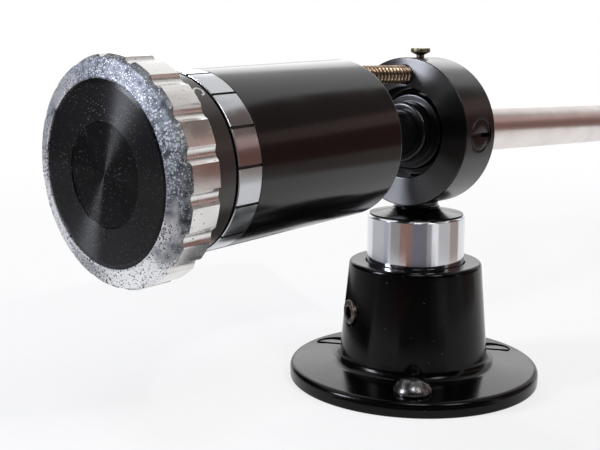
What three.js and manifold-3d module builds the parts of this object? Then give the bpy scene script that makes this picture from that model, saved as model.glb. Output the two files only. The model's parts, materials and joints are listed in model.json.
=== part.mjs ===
// A tonearm with an S-shaped tube: a flanged base, a chrome pillar that slides in it, a ring-shaped
// bearing housing that turns on the pillar, and the arm that tips in the ring with its weight behind.
// Millimetres, +Z up, +X towards the headshell. The origin is the centre of the flange's underside.
import * as THREE from "three";
import { mergeVertices } from "three/addons/utils/BufferGeometryUtils.js";
import Module from "manifold-3d";

const wasm = await Module();
wasm.setup();

const degree = Math.PI / 180;
const quarterTurn = Math.PI / 2;
const fullTurn = Math.PI * 2;

// Clearances and overruns shared by every piece
const gap = {
  slide: 0.15, // between pieces that slide or turn in each other
  press: 0.06, // between pieces that are pressed or cemented together
  seat: 0.05, // between faces that rest on each other
  cut: 1.5, // how far a cutter reaches past the face that it opens
  merge: 0.0001, // vertices nearer than this are one
};

// The flanged base casting, bolted to the board
const base = {
  flangeRadius: 25.9,
  flangeEdge: 3.1,
  flangeRise: 0.7,
  edgeRounding: 1.2,
  lowerRounding: 0.5,
  footRadius: 15.55,
  footFillet: 1.7,
  topRadius: 13.6,
  height: 24.9,
  topRounding: 0.9,
  boreChamfer: 0.5,
};

// Only the front screw stands proud. The other two are flat heads, sunk in deeper seats.
const flangeScrew = {
  count: 3,
  firstAngle: 215.5 * degree,
  circleRadius: 20.2,
  flatHeadDrop: [0, 0.85, 0.85],
  headRadius: 3.7,
  headRim: 0.5,
  domeHeight: 1.9,
  sinkDepth: 1.9,
  shankRadius: 1.8,
  length: 16,
  pointLength: 3,
  slotWidth: 1.1,
  slotDepth: 1.2,
  slotAngles: [0, 52 * degree, 121 * degree],
};

const heightScrew = {
  angle: 153 * degree,
  height: 14.9,
  radius: 2.6,
  tipRadius: 1.6,
  tipLength: 1.2,
  proud: 0.5,
  dome: 0.4,
  hexAcross: 2.5,
  hexDepth: 2.4,
  sinkRadius: 3,
  sinkDepth: 0.4,
};

// The pillar, which slides in the base to set the arm's height
const pillar = {
  radius: 10,
  boreRadius: 7.5,
  top: 34.5,
  belowBoard: 44,
  chamfer: 0.45,
};

const bearingCap = {
  flangeRadius: 9.6,
  flangeThickness: 0.3,
  bellRadii: [7.2, 5.6],
  bellRises: [0.35, 0.8],
  neckRadius: 4.7,
  coneHeight: 1.25,
  neckHeight: 0.3,
  spigotLength: 3,
};

const ballBearing = {
  width: 5,
  chamfer: 0.4,
  upperDrop: 0.6,
  lowerHeight: -12,
  ringWall: 1.1,
  trackDepth: 0.35,
  trackHalfWidth: 0.95,
  ballCount: 6,
  cageWall: 0.6,
  cageWidth: 1.6,
};

const outputSocket = {
  faceDepth: 7.5,
  thickness: 5,
  chamfer: 0.4,
  pinCount: 5,
  pinRadius: 0.72,
  pinCircleRadius: 3.7,
  pinLength: 6,
  pinSeat: 3,
  pinTip: 0.4,
  keyWidth: 2,
  keyDepth: 0.9,
};

// The ring-shaped housing that turns on the pillar
const housing = {
  ringGap: 0.4, // between the bearing cap and the ring's outline
  radius: 14.75,
  boreRadius: 9,
  width: 10.2,
  outerChamfer: 0.55,
  boreChamfer: 0.4,
  bossRadius: 4.4,
  bossGap: 0.25,
};

const spindle = {
  radius: 2.9,
  boreRadius: 1.5,
  chamfer: 0.3,
  seatDepth: 4.2,
  belowBearing: 1,
};

const pivotScrew = {
  radius: 3,
  inset: 0.2,
  bodyEnd: 8.7,
  pinRadius: 0.9,
  tipRadius: 0.12,
  tipLength: 1.2,
  tipReach: 6,
  slotWidth: 0.8,
  slotDepth: 0.9,
  chamfer: 0.25,
};

const lockRing = {
  radius: 3.6,
  thickness: 0.8,
  recessDepth: 1,
  notchWidth: 0.8,
  notchDepth: 0.35,
  chamfer: 0.12,
};

const guideRod = {
  radius: 1.85,
  offset: 11.45,
  rearReach: 20.3,
  frontInset: 1,
  threadPitch: 1.4,
  threadDepth: 0.2,
};

const clampScrew = {
  headRadius: 1.93,
  headHeight: 1.15,
  stemRadius: 0.78,
  stemShow: 0.65,
  chamfer: 0.15,
};

// The arm, which tips on two pivots inside the ring. In the photograph its front hangs a little low
// and its rear shaft sags in the rubber bush. Both angles at zero give a straight, level arm.
const armDip = 1.6 * degree;
const shaftSag = 3.84 * degree;

const pivotBlock = {
  radius: 7.6,
  ridgeRadius: 8.75,
  ridgeHalfWidth: 1,
  rearFace: 3.4,
  frontFace: 4.4,
  collarRadius: 6,
  collarEnd: 6.6,
  collarRounding: 1.4,
  frontRadius: 6.3,
  frontEnd: 7.6,
  chamfer: 0.4,
  socketDepth: 5.2,
};

const pivotCup = {
  radius: 1.7,
  length: 2,
  inset: 0.2,
  mouthRadius: 1.45,
  bottomRadius: 0.25,
  coneDepth: 1.75,
};

const rearSleeve = {
  radius: 4.4,
  end: 15.15,
  seatDepth: 2,
  chamfer: 0.4,
};

const rubberBush = {
  radius: 4.9,
  length: 2.8,
  rounding: 0.6,
};

const armTube = {
  radius: 5.03,
  wall: 0.8,
  straightLength: 92,
  firstBendRadius: 50,
  firstBendAngle: 30 * degree,
  linkLength: 13,
  secondBendRadius: 45,
  offsetAngle: 21.5 * degree,
  endLength: 12,
  outerSides: 16,
  boreSides: 10,
  steps: 26,
};

const shellSocket = {
  radius: 6,
  length: 22,
  tubeDepth: 8,
  plugBoreDepth: 13.2,
  pinSlotWidth: 2.4,
  pinSlotLength: 4.6,
  chamfer: 0.4,
};

const contactBlock = {
  thickness: 0.6,
  pinCount: 4,
  pinRadius: 0.45,
  pinCircleRadius: 2.1,
};

const lockingRing = {
  radius: 7.1,
  length: 8.5,
  faceInset: 0.3,
  chamfer: 0.5,
  ribCount: 18,
  ribDepth: 0.4,
  ribWidth: 0.95,
  ribInset: 1.1,
};

// The plug-in headshell
const shellPlug = {
  radius: 4,
  length: 12,
  chamfer: 0.3,
  pinRadius: 1,
  pinProud: 1.7,
  pinPlace: 2.6,
  pinSeat: 1.2,
  seatInShell: 3,
};

const gasket = {
  radius: 6,
  thickness: 0.6,
};

const headshell = {
  length: 59,
  neckRadius: 5.9,
  neckLength: 5,
  neckHalfWidth: 5.9,
  shoulder: 14,
  halfWidth: 8.8,
  noseHalfWidth: 6.4,
  noseLength: 9,
  noseRounding: 3,
  thickness: 2.2,
  underside: 2.4,
  boltToFront: 16.5,
  boltSpacing: 12.7,
  slotLength: 12,
  slotWidth: 2.7,
  windowLength: 9,
  windowHalfWidth: 3.2,
  windowStart: 17,
};

const shellTerminals = {
  thickness: 1,
  pinRadius: 0.35,
  pinLength: 4,
  blockRadius: 3.4,
};

const fingerLift = {
  thickness: 0.8,
  width: 5,
  behindFront: 19,
  tabLength: 4.5,
  reach: 6.5,
  bendRadius: 5,
  bendAngle: 55 * degree,
  tipLength: 3.5,
};

// The counterweight. Its places are distances behind the pivots, along the rear shaft.
const rearShaft = {
  radius: 4.2,
  end: 42,
  chamfer: 0.5,
};

const weightBody = {
  radius: 14.3,
  front: 25,
  rear: 60.15,
  wall: 2.3,
  frontWall: 4,
  chamfer: 0.35,
};

const gripSleeve = {
  radius: 5.9,
  length: 9,
  flangeRadius: 6.8,
  flangeThickness: 1,
};

const indexRing = {
  length: 4.75,
  markCount: 15,
  firstMark: 8 * degree,
  markWidth: 0.4,
  markDepth: 0.25,
  chamfer: 0.12,
};

const digitRing = {
  radius: 14.1,
  length: 6,
  frontGap: 0.3,
  firstDigit: 324.5 * degree,
  digitSpacing: 120 * degree,
  digitHeight: 2.5,
  digitWidth: 1.7,
  strokeWidth: 0.42,
  strokeDepth: 0.22,
  digitPlace: 1.9,
  wall: 1.9,
};

const knob = {
  radius: 17.3,
  length: 7.1,
  rimRadius: 16.8,
  rimDrop: 0.95,
  bevelDrop: 0.95,
  lipRadius: 14.15,
  recessRadius: 13.88,
  recessDepth: 1.1,
  frontChamfer: 0.35,
  fluteCount: 18,
  firstFlute: 2.5 * degree,
  fluteRadius: 1.4,
  fluteDepth: 0.65,
  spigotWall: 1.1,
  spigotReach: 1.8,
  hubRadius: 5.6,
  cavityDepth: 4.7,
};

const inlay = {
  thickness: 0.95,
  dishRadius: 7.9,
  dishDepth: 0.18,
  edgeDrop: 0.12,
};

const leadScrew = {
  radius: 2.9,
  frontEnd: 45,
  seatDepth: 3,
  chamfer: 0.4,
};

const slidingWeight = {
  radius: 11.6,
  rimLength: 5,
  waistRadius: 8.2,
  front: 36,
  length: 16,
  shaftClearance: 1,
  shaftBoreDepth: 11,
  chamfer: 0.4,
};

// Sides of round pieces
const sides = { large: 36, medium: 24, small: 16, tiny: 8, hexagon: 6, flute: 2 };
const arcSteps = 3;

// Finishes
function finish(color, roughness, metalness) {
  return new THREE.MeshStandardMaterial({ color, roughness, metalness });
}

const chrome = () => finish(0xd8d9db, 0.12, 1);
const steel = () => finish(0xa9abad, 0.3, 1);
const blackPaint = () => finish(0x0c0c0d, 0.16, 0);
const blackSatin = () => finish(0x17161a, 0.32, 0.2);
const blackAnodised = () => finish(0x101013, 0.35, 0.8);
const brass = () => finish(0xb89a6a, 0.3, 1);
const aluminium = () => finish(0xcfcfd2, 0.2, 1);
const plastic = () => finish(0x1b1b1d, 0.5, 0);
const rubber = () => finish(0x141414, 0.8, 0);

// Solids and cuts
function solidOf(geometry) {
  const bare = new THREE.BufferGeometry();
  bare.setAttribute("position", geometry.getAttribute("position"));
  bare.setIndex(geometry.getIndex());
  const merged = mergeVertices(bare, gap.merge);
  const index = merged.getIndex().array;
  const corners = [];
  for (let i = 0; i < index.length; i += 3) {
    const [a, b, c] = index.slice(i, i + 3);
    if (a !== b && b !== c && c !== a) corners.push(a, b, c);
  }
  const points = merged.getAttribute("position").array;
  const made = new wasm.Manifold(
    new wasm.Mesh({ numProp: 3, vertProperties: points, triVerts: new Uint32Array(corners) }),
  );
  if (made.volume() > 0) return made;
  return new wasm.Manifold(
    new wasm.Mesh({ numProp: 3, vertProperties: points, triVerts: new Uint32Array(corners).reverse() }),
  );
}

function geometryOf(solid) {
  const mesh = solid.getMesh();
  const points = new Float32Array(mesh.numVert * 3);
  for (let i = 0; i < mesh.numVert; i += 1) {
    const start = i * mesh.numProp;
    points.set(mesh.vertProperties.subarray(start, start + 3), i * 3);
  }
  const geometry = new THREE.BufferGeometry();
  geometry.setAttribute("position", new THREE.BufferAttribute(points, 3));
  geometry.setIndex(new THREE.BufferAttribute(mesh.triVerts, 1));
  return geometry;
}

function cut(body, ...tools) {
  const left = tools.reduce((solid, tool) => solid.subtract(solidOf(tool)), solidOf(body));
  return geometryOf(left);
}

function join(body, ...others) {
  const whole = others.reduce((solid, other) => solid.add(solidOf(other)), solidOf(body));
  return geometryOf(whole);
}

// A solid of revolution about Z, from points of radius and height
function turned(outline, sideCount = sides.medium) {
  const points = outline.map(([radius, height]) => new THREE.Vector2(radius, height));
  if (outline[0][0] > 0) points.push(points[0].clone());
  const geometry = new THREE.LatheGeometry(points, sideCount);
  geometry.rotateX(quarterTurn);
  return geometryOf(solidOf(geometry));
}

function rod(radius, from, to, chamfer = 0, sideCount = sides.small) {
  if (chamfer === 0) {
    return turned([[0, from], [radius, from], [radius, to], [0, to]], sideCount);
  }
  return turned(
    [
      [0, from],
      [radius - chamfer, from],
      [radius, from + chamfer],
      [radius, to - chamfer],
      [radius - chamfer, to],
      [0, to],
    ],
    sideCount,
  );
}

function pipe(inner, outer, from, to, chamfer = 0, sideCount = sides.medium) {
  if (chamfer === 0) {
    return turned([[inner, from], [outer, from], [outer, to], [inner, to]], sideCount);
  }
  return turned(
    [
      [inner, from],
      [outer - chamfer, from],
      [outer, from + chamfer],
      [outer, to - chamfer],
      [outer - chamfer, to],
      [inner, to],
    ],
    sideCount,
  );
}

// Points of an arc about a centre, in the plane of an outline
function arc(centre, radius, from, to, steps = arcSteps) {
  const points = [];
  for (let i = 0; i <= steps; i += 1) {
    const angle = from + ((to - from) * i) / steps;
    points.push([centre[0] + radius * Math.cos(angle), centre[1] + radius * Math.sin(angle)]);
  }
  return points;
}

function block(width, depth, height, place) {
  const geometry = new THREE.BoxGeometry(width, depth, height);
  geometry.translate(...place);
  return geometry;
}

// Turns a piece made about Z onto another axis
const toFront = (geometry) => geometry.rotateY(quarterTurn);
const toRear = (geometry) => geometry.rotateY(-quarterTurn);
const toLeft = (geometry) => geometry.rotateX(-quarterTurn);
const toRight = (geometry) => geometry.rotateX(quarterTurn);

const root = new THREE.Group();
root.name = "tonearm";

function addGroup(parent, place = [0, 0, 0]) {
  const group = new THREE.Group();
  group.position.set(...place);
  parent.add(group);
  return group;
}

function add(group, name, geometry, material) {
  const mesh = new THREE.Mesh(geometry, material);
  mesh.name = name;
  geometry.computeVertexNormals();
  group.add(mesh);
}

// Base
function coneRadiusAt(height) {
  const share = (height - base.flangeEdge) / (base.height - base.flangeEdge);
  return base.footRadius + (base.topRadius - base.footRadius) * share;
}

function baseCasting() {
  const bore = pillar.radius + gap.slide;
  const deck = base.flangeEdge + base.flangeRise;
  const edge = [base.flangeRadius - base.edgeRounding, base.flangeEdge - base.edgeRounding];
  const foot = [coneRadiusAt(deck) + base.footFillet, deck + base.footFillet];
  const crown = [coneRadiusAt(base.height) - base.topRounding, base.height - base.topRounding];
  const body = turned(
    [
      [bore, 0],
      [base.flangeRadius - base.lowerRounding, 0],
      [base.flangeRadius, base.lowerRounding],
      ...arc(edge, base.edgeRounding, 0, quarterTurn),
      ...arc(foot, base.footFillet, 3 * quarterTurn, 2 * quarterTurn),
      ...arc(crown, base.topRounding, 0, quarterTurn),
      [bore + base.boreChamfer, base.height],
      [bore, base.height - base.boreChamfer],
    ],
    sides.large,
  );
  const cutters = flangeScrewAngles().map((angle, i) => {
    const shank = flangeScrew.shankRadius + gap.slide;
    const head = flangeScrew.headRadius + gap.slide;
    const seat = flangeDeckAtScrew() - flangeScrew.flatHeadDrop[i];
    const cutter = turned([
      [0, -gap.cut],
      [shank, -gap.cut],
      [shank, seat - flangeScrew.sinkDepth],
      [head, seat],
      [head, deck + gap.cut],
      [0, deck + gap.cut],
    ], sides.small);
    return cutter.translate(...onCircle(flangeScrew.circleRadius, angle));
  });
  return cut(body, ...cutters, heightScrewHole());
}

function onCircle(radius, angle, height = 0) {
  return [radius * Math.cos(angle), radius * Math.sin(angle), height];
}

function flangeScrewAngles() {
  const spacing = fullTurn / flangeScrew.count;
  return Array.from({ length: flangeScrew.count }, (_, i) => flangeScrew.firstAngle + i * spacing);
}

// The flange's top slopes a little, so the screw heads seat at its height on their circle
function flangeDeckAtScrew() {
  const inner = base.footRadius + base.footFillet;
  const outer = base.flangeRadius - base.edgeRounding;
  const share = (outer - flangeScrew.circleRadius) / (outer - inner);
  return base.flangeEdge + base.flangeRise * share;
}

function slotted(screw, top) {
  const { headRadius, slotWidth, slotDepth } = flangeScrew;
  const depth = slotDepth + gap.cut;
  const middle = top - slotDepth + depth / 2;
  return cut(screw, block(2 * headRadius + gap.cut, slotWidth, depth, [0, 0, middle]));
}

function flatHeadScrew(drop) {
  const { headRadius, shankRadius, sinkDepth } = flangeScrew;
  const top = flangeDeckAtScrew() - drop;
  const end = flangeDeckAtScrew() - flangeScrew.length;
  const screw = turned(
    [
      [0, end],
      [shankRadius, end + flangeScrew.pointLength],
      [shankRadius, top - sinkDepth],
      [headRadius, top],
      [0, top],
    ],
    sides.small,
  );
  return slotted(screw, top);
}

function raisedHeadScrew() {
  const { headRadius, headRim, domeHeight, shankRadius, sinkDepth } = flangeScrew;
  const deck = flangeDeckAtScrew();
  const domeRadius = (headRadius ** 2 + domeHeight ** 2) / (2 * domeHeight);
  const rim = deck + headRim;
  const centre = [0, rim + domeHeight - domeRadius];
  const start = Math.acos(headRadius / domeRadius) * Math.sign(rim - centre[1]);
  const screw = turned(
    [
      [0, deck - flangeScrew.length],
      [shankRadius, deck - flangeScrew.length + flangeScrew.pointLength],
      [shankRadius, deck - sinkDepth],
      [headRadius, deck],
      ...arc(centre, domeRadius, start, quarterTurn).slice(0, -1),
      [0, rim + domeHeight],
    ],
    sides.small,
  );
  return slotted(screw, rim + domeHeight);
}

// Stands a piece made about Z in the base's wall, pointing out at the height screw's angle
function intoBaseWall(geometry) {
  geometry.rotateY(quarterTurn);
  geometry.rotateZ(heightScrew.angle);
  return geometry.translate(0, 0, heightScrew.height);
}

function heightScrewHole() {
  const wall = coneRadiusAt(heightScrew.height);
  const sink = wall - heightScrew.sinkDepth;
  const hole = heightScrew.radius + gap.slide;
  return intoBaseWall(
    turned([
      [0, pillar.radius - gap.cut],
      [hole, pillar.radius - gap.cut],
      [hole, sink],
      [heightScrew.sinkRadius, wall],
      [heightScrew.sinkRadius, wall + gap.cut],
      [0, wall + gap.cut],
    ], sides.small),
  );
}

function heightLockScrew() {
  const { radius, tipRadius, tipLength, proud, dome, hexAcross, hexDepth } = heightScrew;
  const tip = pillar.radius + gap.slide;
  const head = coneRadiusAt(heightScrew.height) + proud;
  const body = turned(
    [
      [0, tip],
      [tipRadius, tip],
      [radius, tip + tipLength],
      [radius, head - dome],
      [radius - dome, head],
      [0, head],
    ],
    sides.small,
  );
  const hexRadius = hexAcross / 2 / Math.cos(quarterTurn / 3);
  const hex = turned(
    [[0, head - hexDepth], [hexRadius, head - hexDepth], [hexRadius, head + gap.cut], [0, head + gap.cut]],
    sides.hexagon,
  );
  return intoBaseWall(cut(body, hex));
}

const baseGroup = addGroup(root);
add(baseGroup, "base_casting", baseCasting(), blackPaint());
flangeScrewAngles().forEach((angle, i) => {
  const drop = flangeScrew.flatHeadDrop[i];
  const screw = drop > 0 ? flatHeadScrew(drop) : raisedHeadScrew();
  screw.rotateZ(angle + flangeScrew.slotAngles[i]).translate(...onCircle(flangeScrew.circleRadius, angle));
  add(baseGroup, "flange_screw_" + (i + 1), screw, chrome());
});
add(baseGroup, "height_lock_screw", heightLockScrew(), steel());

// Pillar
const pillarGroup = addGroup(root);

function pillarTube() {
  const { radius, boreRadius, top, belowBoard, chamfer } = pillar;
  return turned(
    [
      [boreRadius, -belowBoard],
      [radius - chamfer, -belowBoard],
      [radius, chamfer - belowBoard],
      [radius, top - chamfer],
      [radius - chamfer, top],
      [boreRadius, top],
    ],
    sides.large,
  );
}

const capSeat = pillar.top + gap.seat;
const capTop = capSeat + bearingCap.flangeThickness + bearingCap.coneHeight + bearingCap.neckHeight;

function pillarCap() {
  const bore = spindle.radius + gap.slide;
  const spigot = pillar.boreRadius - gap.press;
  const rim = capSeat + bearingCap.flangeThickness;
  const bell = bearingCap.bellRadii.map((radius, i) => [radius, rim + bearingCap.bellRises[i]]);
  return turned([
    [bore, capSeat - bearingCap.spigotLength],
    [spigot, capSeat - bearingCap.spigotLength],
    [spigot, capSeat],
    [bearingCap.flangeRadius, capSeat],
    [bearingCap.flangeRadius, rim],
    ...bell,
    [bearingCap.neckRadius, rim + bearingCap.coneHeight],
    [bearingCap.neckRadius, capTop],
    [bore, capTop],
  ]);
}

// A ball bearing's outer ring with its balls' track, its inner ring, and both heights
const upperBearing = capSeat - bearingCap.spigotLength - ballBearing.upperDrop - ballBearing.width;
const bearingOuter = pillar.boreRadius - gap.press;
const bearingInner = spindle.radius + gap.press;

function bearingOuterRing(bottom) {
  const { width, chamfer, ringWall, trackDepth, trackHalfWidth } = ballBearing;
  const inner = bearingOuter - ringWall;
  const middle = bottom + width / 2;
  return turned([
    [inner, bottom],
    [bearingOuter - chamfer, bottom],
    [bearingOuter, bottom + chamfer],
    [bearingOuter, bottom + width - chamfer],
    [bearingOuter - chamfer, bottom + width],
    [inner, bottom + width],
    [inner, middle + trackHalfWidth],
    [inner + trackDepth, middle],
    [inner, middle - trackHalfWidth],
  ], sides.small);
}

function bearingInnerRing(bottom) {
  const { width, ringWall, trackDepth, trackHalfWidth } = ballBearing;
  const outer = bearingInner + ringWall;
  const middle = bottom + width / 2;
  return turned([
    [bearingInner, bottom],
    [outer, bottom],
    [outer, middle - trackHalfWidth],
    [outer - trackDepth, middle],
    [outer, middle + trackHalfWidth],
    [outer, bottom + width],
    [bearingInner, bottom + width],
  ], sides.small);
}

// The balls run between the two tracks, held apart by a cage ring through their middles
function cagedBalls(bottom) {
  const { width, ringWall, trackDepth, ballCount, cageWall, cageWidth } = ballBearing;
  const outerTrack = (bearingOuter - ringWall + trackDepth) * Math.cos(Math.PI / sides.small);
  const innerTrack = bearingInner + ringWall - trackDepth;
  const middle = bottom + width / 2;
  const circle = (outerTrack + innerTrack) / 2;
  const ballRadius = (outerTrack - innerTrack) / 2 - gap.slide;
  const bottomOfCage = middle - cageWidth / 2;
  const topOfCage = middle + cageWidth / 2;
  const cage = pipe(circle - cageWall / 2, circle + cageWall / 2, bottomOfCage, topOfCage, 0, sides.small);
  const balls = Array.from({ length: ballCount }, (_, i) => {
    const ball = new THREE.SphereGeometry(ballRadius, sides.tiny, sides.tiny / 2);
    return ball.rotateX(quarterTurn).translate(...onCircle(circle, (i * fullTurn) / ballCount, middle));
  });
  return join(cage, ...balls);
}

const socketFace = outputSocket.faceDepth - pillar.belowBoard;

function socketPinPlaces() {
  const spacing = (2 * quarterTurn) / (outputSocket.pinCount - 1);
  return Array.from({ length: outputSocket.pinCount }, (_, i) =>
    onCircle(outputSocket.pinCircleRadius, i * spacing - quarterTurn));
}

function socketInsert() {
  const { thickness, chamfer, pinRadius, pinSeat, keyWidth, keyDepth } = outputSocket;
  const radius = pillar.boreRadius - gap.press;
  const body = turned([
    [0, socketFace],
    [radius - chamfer, socketFace],
    [radius, socketFace + chamfer],
    [radius, socketFace + thickness],
    [0, socketFace + thickness],
  ]);
  const holes = socketPinPlaces().map((place) =>
    rod(pinRadius + gap.press, socketFace - gap.cut, socketFace + pinSeat, 0, sides.tiny).translate(...place));
  const keyLength = thickness + 2 * gap.cut;
  const key = block(keyDepth * 2, keyWidth, keyLength, [-radius, 0, socketFace + thickness / 2]);
  return cut(body, ...holes, key);
}

function socketPin() {
  const { pinRadius, pinLength, pinSeat, pinTip } = outputSocket;
  const top = socketFace + pinSeat - gap.seat;
  const bottom = socketFace - pinLength;
  return turned(
    [[0, bottom], [pinRadius - pinTip, bottom], [pinRadius, bottom + pinTip], [pinRadius, top], [0, top]],
    sides.tiny,
  );
}

add(pillarGroup, "pillar_tube", pillarTube(), chrome());
add(pillarGroup, "pillar_cap", pillarCap(), blackPaint());
add(pillarGroup, "upper_bearing_outer_ring", bearingOuterRing(upperBearing), steel());
add(pillarGroup, "lower_bearing_outer_ring", bearingOuterRing(ballBearing.lowerHeight), steel());
add(pillarGroup, "upper_bearing_balls", cagedBalls(upperBearing), steel());
add(pillarGroup, "lower_bearing_balls", cagedBalls(ballBearing.lowerHeight), steel());
add(pillarGroup, "output_socket", socketInsert(), plastic());
socketPinPlaces().forEach((place, i) => {
  add(pillarGroup, "output_pin_" + (i + 1), socketPin().translate(...place), brass());
});

// Bearing housing. Its own origin is where the swing axis meets the arm's pivot axis.
const armAxisHeight = capTop + housing.ringGap + housing.radius;
const housingGroup = addGroup(root, [0, 0, armAxisHeight]);
const housingFace = housing.width / 2;
const bossBottom = capTop + housing.bossGap - armAxisHeight;
const spindleTop = spindle.seatDepth - housing.radius;

function housingRing() {
  const { radius, boreRadius, outerChamfer, boreChamfer, bossRadius } = housing;
  const ring = toFront(
    turned(
      [
        [boreRadius + boreChamfer, -housingFace],
        [radius - outerChamfer, -housingFace],
        [radius, outerChamfer - housingFace],
        [radius, housingFace - outerChamfer],
        [radius - outerChamfer, housingFace],
        [boreRadius + boreChamfer, housingFace],
        [boreRadius, housingFace - boreChamfer],
        [boreRadius, boreChamfer - housingFace],
      ],
      sides.large,
    ),
  );
  const bossTop = -Math.sqrt(radius ** 2 - bossRadius ** 2) + gap.slide;
  const boss = rod(bossRadius, bossBottom, bossTop);
  const wireHole = rod(spindle.boreRadius, spindleTop - gap.cut, -boreRadius + gap.cut, 0, sides.small);
  const spindleHole = rod(spindle.radius + gap.press, bossBottom - gap.cut, spindleTop + gap.seat);
  const rodHole = toFront(
    rod(guideRod.radius + gap.slide, -housing.width, housing.width),
  ).translate(0, 0, guideRod.offset);
  const clampHole = rod(clampScrew.stemRadius + gap.slide, guideRod.offset, radius + gap.cut, 0, sides.tiny);
  return cut(join(ring, boss), wireHole, spindleHole, rodHole, clampHole, ...pivotHoles());
}

// Runs from the recess that takes the lock ring through to the bore, on both sides
function pivotHoles() {
  const { radius, boreRadius } = housing;
  const hole = pivotScrew.radius + gap.slide;
  const recess = lockRing.radius + gap.slide;
  const outline = [
    [0, boreRadius - gap.cut],
    [hole, boreRadius - gap.cut],
    [hole, radius - lockRing.recessDepth],
    [recess, radius - lockRing.recessDepth],
    [recess, radius + gap.cut],
    [0, radius + gap.cut],
  ];
  return [toLeft(turned(outline, sides.small)), toRight(turned(outline, sides.small))];
}

function housingSpindle() {
  const bottom = ballBearing.lowerHeight - spindle.belowBearing - armAxisHeight;
  const { radius, boreRadius, chamfer } = spindle;
  return pipe(boreRadius, radius, bottom, spindleTop, chamfer, sides.small);
}

function pivotPoint() {
  const { radius, inset, bodyEnd, pinRadius, tipRadius, tipLength, tipReach, chamfer } = pivotScrew;
  const head = housing.radius - inset;
  const body = turned(
    [
      [0, tipReach],
      [tipRadius, tipReach],
      [pinRadius, tipReach + tipLength],
      [pinRadius, bodyEnd],
      [radius - chamfer, bodyEnd],
      [radius, bodyEnd + chamfer],
      [radius, head - chamfer],
      [radius - chamfer, head],
      [0, head],
    ],
    sides.small,
  );
  const depth = pivotScrew.slotDepth + gap.cut;
  const middle = head - pivotScrew.slotDepth + depth / 2;
  const slot = block(2 * radius + gap.cut, pivotScrew.slotWidth, depth, [0, 0, middle]);
  return cut(body, slot);
}

function pivotLockRing() {
  const { radius, thickness, recessDepth, notchWidth, notchDepth, chamfer } = lockRing;
  const bottom = housing.radius - recessDepth + gap.seat;
  const top = bottom + thickness;
  const inner = pivotScrew.radius + gap.slide;
  const ring = pipe(inner, radius, bottom, top, chamfer, sides.small);
  const depth = notchDepth + gap.cut;
  const middle = top - notchDepth + depth / 2;
  return cut(ring, block(notchWidth, 2 * radius + gap.cut, depth, [0, 0, middle]));
}

// A brass rod whose thread is cut as rings, one for every other turn
function threadedRod() {
  const { radius, rearReach, frontInset, threadPitch, threadDepth } = guideRod;
  const front = housingFace - frontInset;
  const threadEnd = -housingFace;
  const turns = Math.floor((rearReach + threadEnd) / threadPitch);
  const outline = [[0, -rearReach], [radius - threadDepth, -rearReach]];
  for (let i = 0; i < turns; i += 1) {
    outline.push([radius, -rearReach + (i + 0.5) * threadPitch]);
    outline.push([radius - threadDepth, -rearReach + (i + 1) * threadPitch]);
  }
  const plain = -rearReach + (turns + 0.5) * threadPitch;
  outline.push([radius, plain], [radius, front], [0, front]);
  return toFront(turned(outline, sides.tiny)).translate(0, 0, guideRod.offset);
}

function rodClampScrew() {
  const { headRadius, headHeight, stemRadius, stemShow, chamfer } = clampScrew;
  const bottom = guideRod.offset + guideRod.radius + gap.seat;
  const seat = housing.radius + stemShow;
  return turned(
    [
      [0, bottom],
      [stemRadius, bottom],
      [stemRadius, seat],
      [headRadius, seat],
      [headRadius, seat + headHeight - chamfer],
      [headRadius - chamfer, seat + headHeight],
      [0, seat + headHeight],
    ],
    sides.small,
  );
}

add(housingGroup, "bearing_housing", housingRing(), blackSatin());
add(housingGroup, "housing_spindle", housingSpindle(), steel());
const bearingHeights = { upper: upperBearing, lower: ballBearing.lowerHeight };
for (const [name, height] of Object.entries(bearingHeights)) {
  const ring = bearingInnerRing(height - armAxisHeight);
  add(housingGroup, name + "_bearing_inner_ring", ring, steel());
}
add(housingGroup, "left_pivot_screw", toLeft(pivotPoint()), steel());
add(housingGroup, "right_pivot_screw", toRight(pivotPoint()), steel());
add(housingGroup, "left_lock_ring", toLeft(pivotLockRing()), blackSatin());
add(housingGroup, "right_lock_ring", toRight(pivotLockRing()), blackSatin());
add(housingGroup, "threaded_guide_rod", threadedRod(), brass());
add(housingGroup, "rod_clamp_screw", rodClampScrew(), steel());

// Arm. It tips about Y at the pivots.
const armGroup = addGroup(root, [0, 0, armAxisHeight]);
armGroup.rotation.y = armDip;

function armPivotBlock() {
  const { radius, rearFace, frontFace, collarRadius, collarEnd, collarRounding } = pivotBlock;
  const { frontRadius, frontEnd, chamfer, socketDepth, ridgeRadius, ridgeHalfWidth } = pivotBlock;
  const sleeveHole = rearSleeve.radius + gap.press;
  const corner = [collarRadius - collarRounding, collarRounding - collarEnd];
  const body = toFront(
    turned([
      [0, rearSleeve.seatDepth - collarEnd],
      [sleeveHole, rearSleeve.seatDepth - collarEnd],
      [sleeveHole, -collarEnd],
      ...arc(corner, collarRounding, -quarterTurn, 0),
      [collarRadius, -rearFace],
      [radius - chamfer, -rearFace],
      [radius, chamfer - rearFace],
      [radius, -ridgeHalfWidth],
      [ridgeRadius, -ridgeHalfWidth],
      [ridgeRadius, ridgeHalfWidth],
      [radius, ridgeHalfWidth],
      [radius, frontFace - chamfer],
      [radius - chamfer, frontFace],
      [frontRadius, frontFace],
      [frontRadius, frontEnd - chamfer],
      [frontRadius - chamfer, frontEnd],
      [armTube.radius + gap.press, frontEnd],
      [armTube.radius + gap.press, frontEnd - socketDepth],
      [0, frontEnd - socketDepth],
    ], sides.small),
  );
  const cupHole = pivotCup.radius + gap.press;
  const depth = radius - pivotCup.inset - pivotCup.length;
  const holes = [toLeft, toRight].map((turn) => turn(rod(cupHole, depth, ridgeRadius + gap.cut)));
  return cut(body, ...holes);
}

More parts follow.
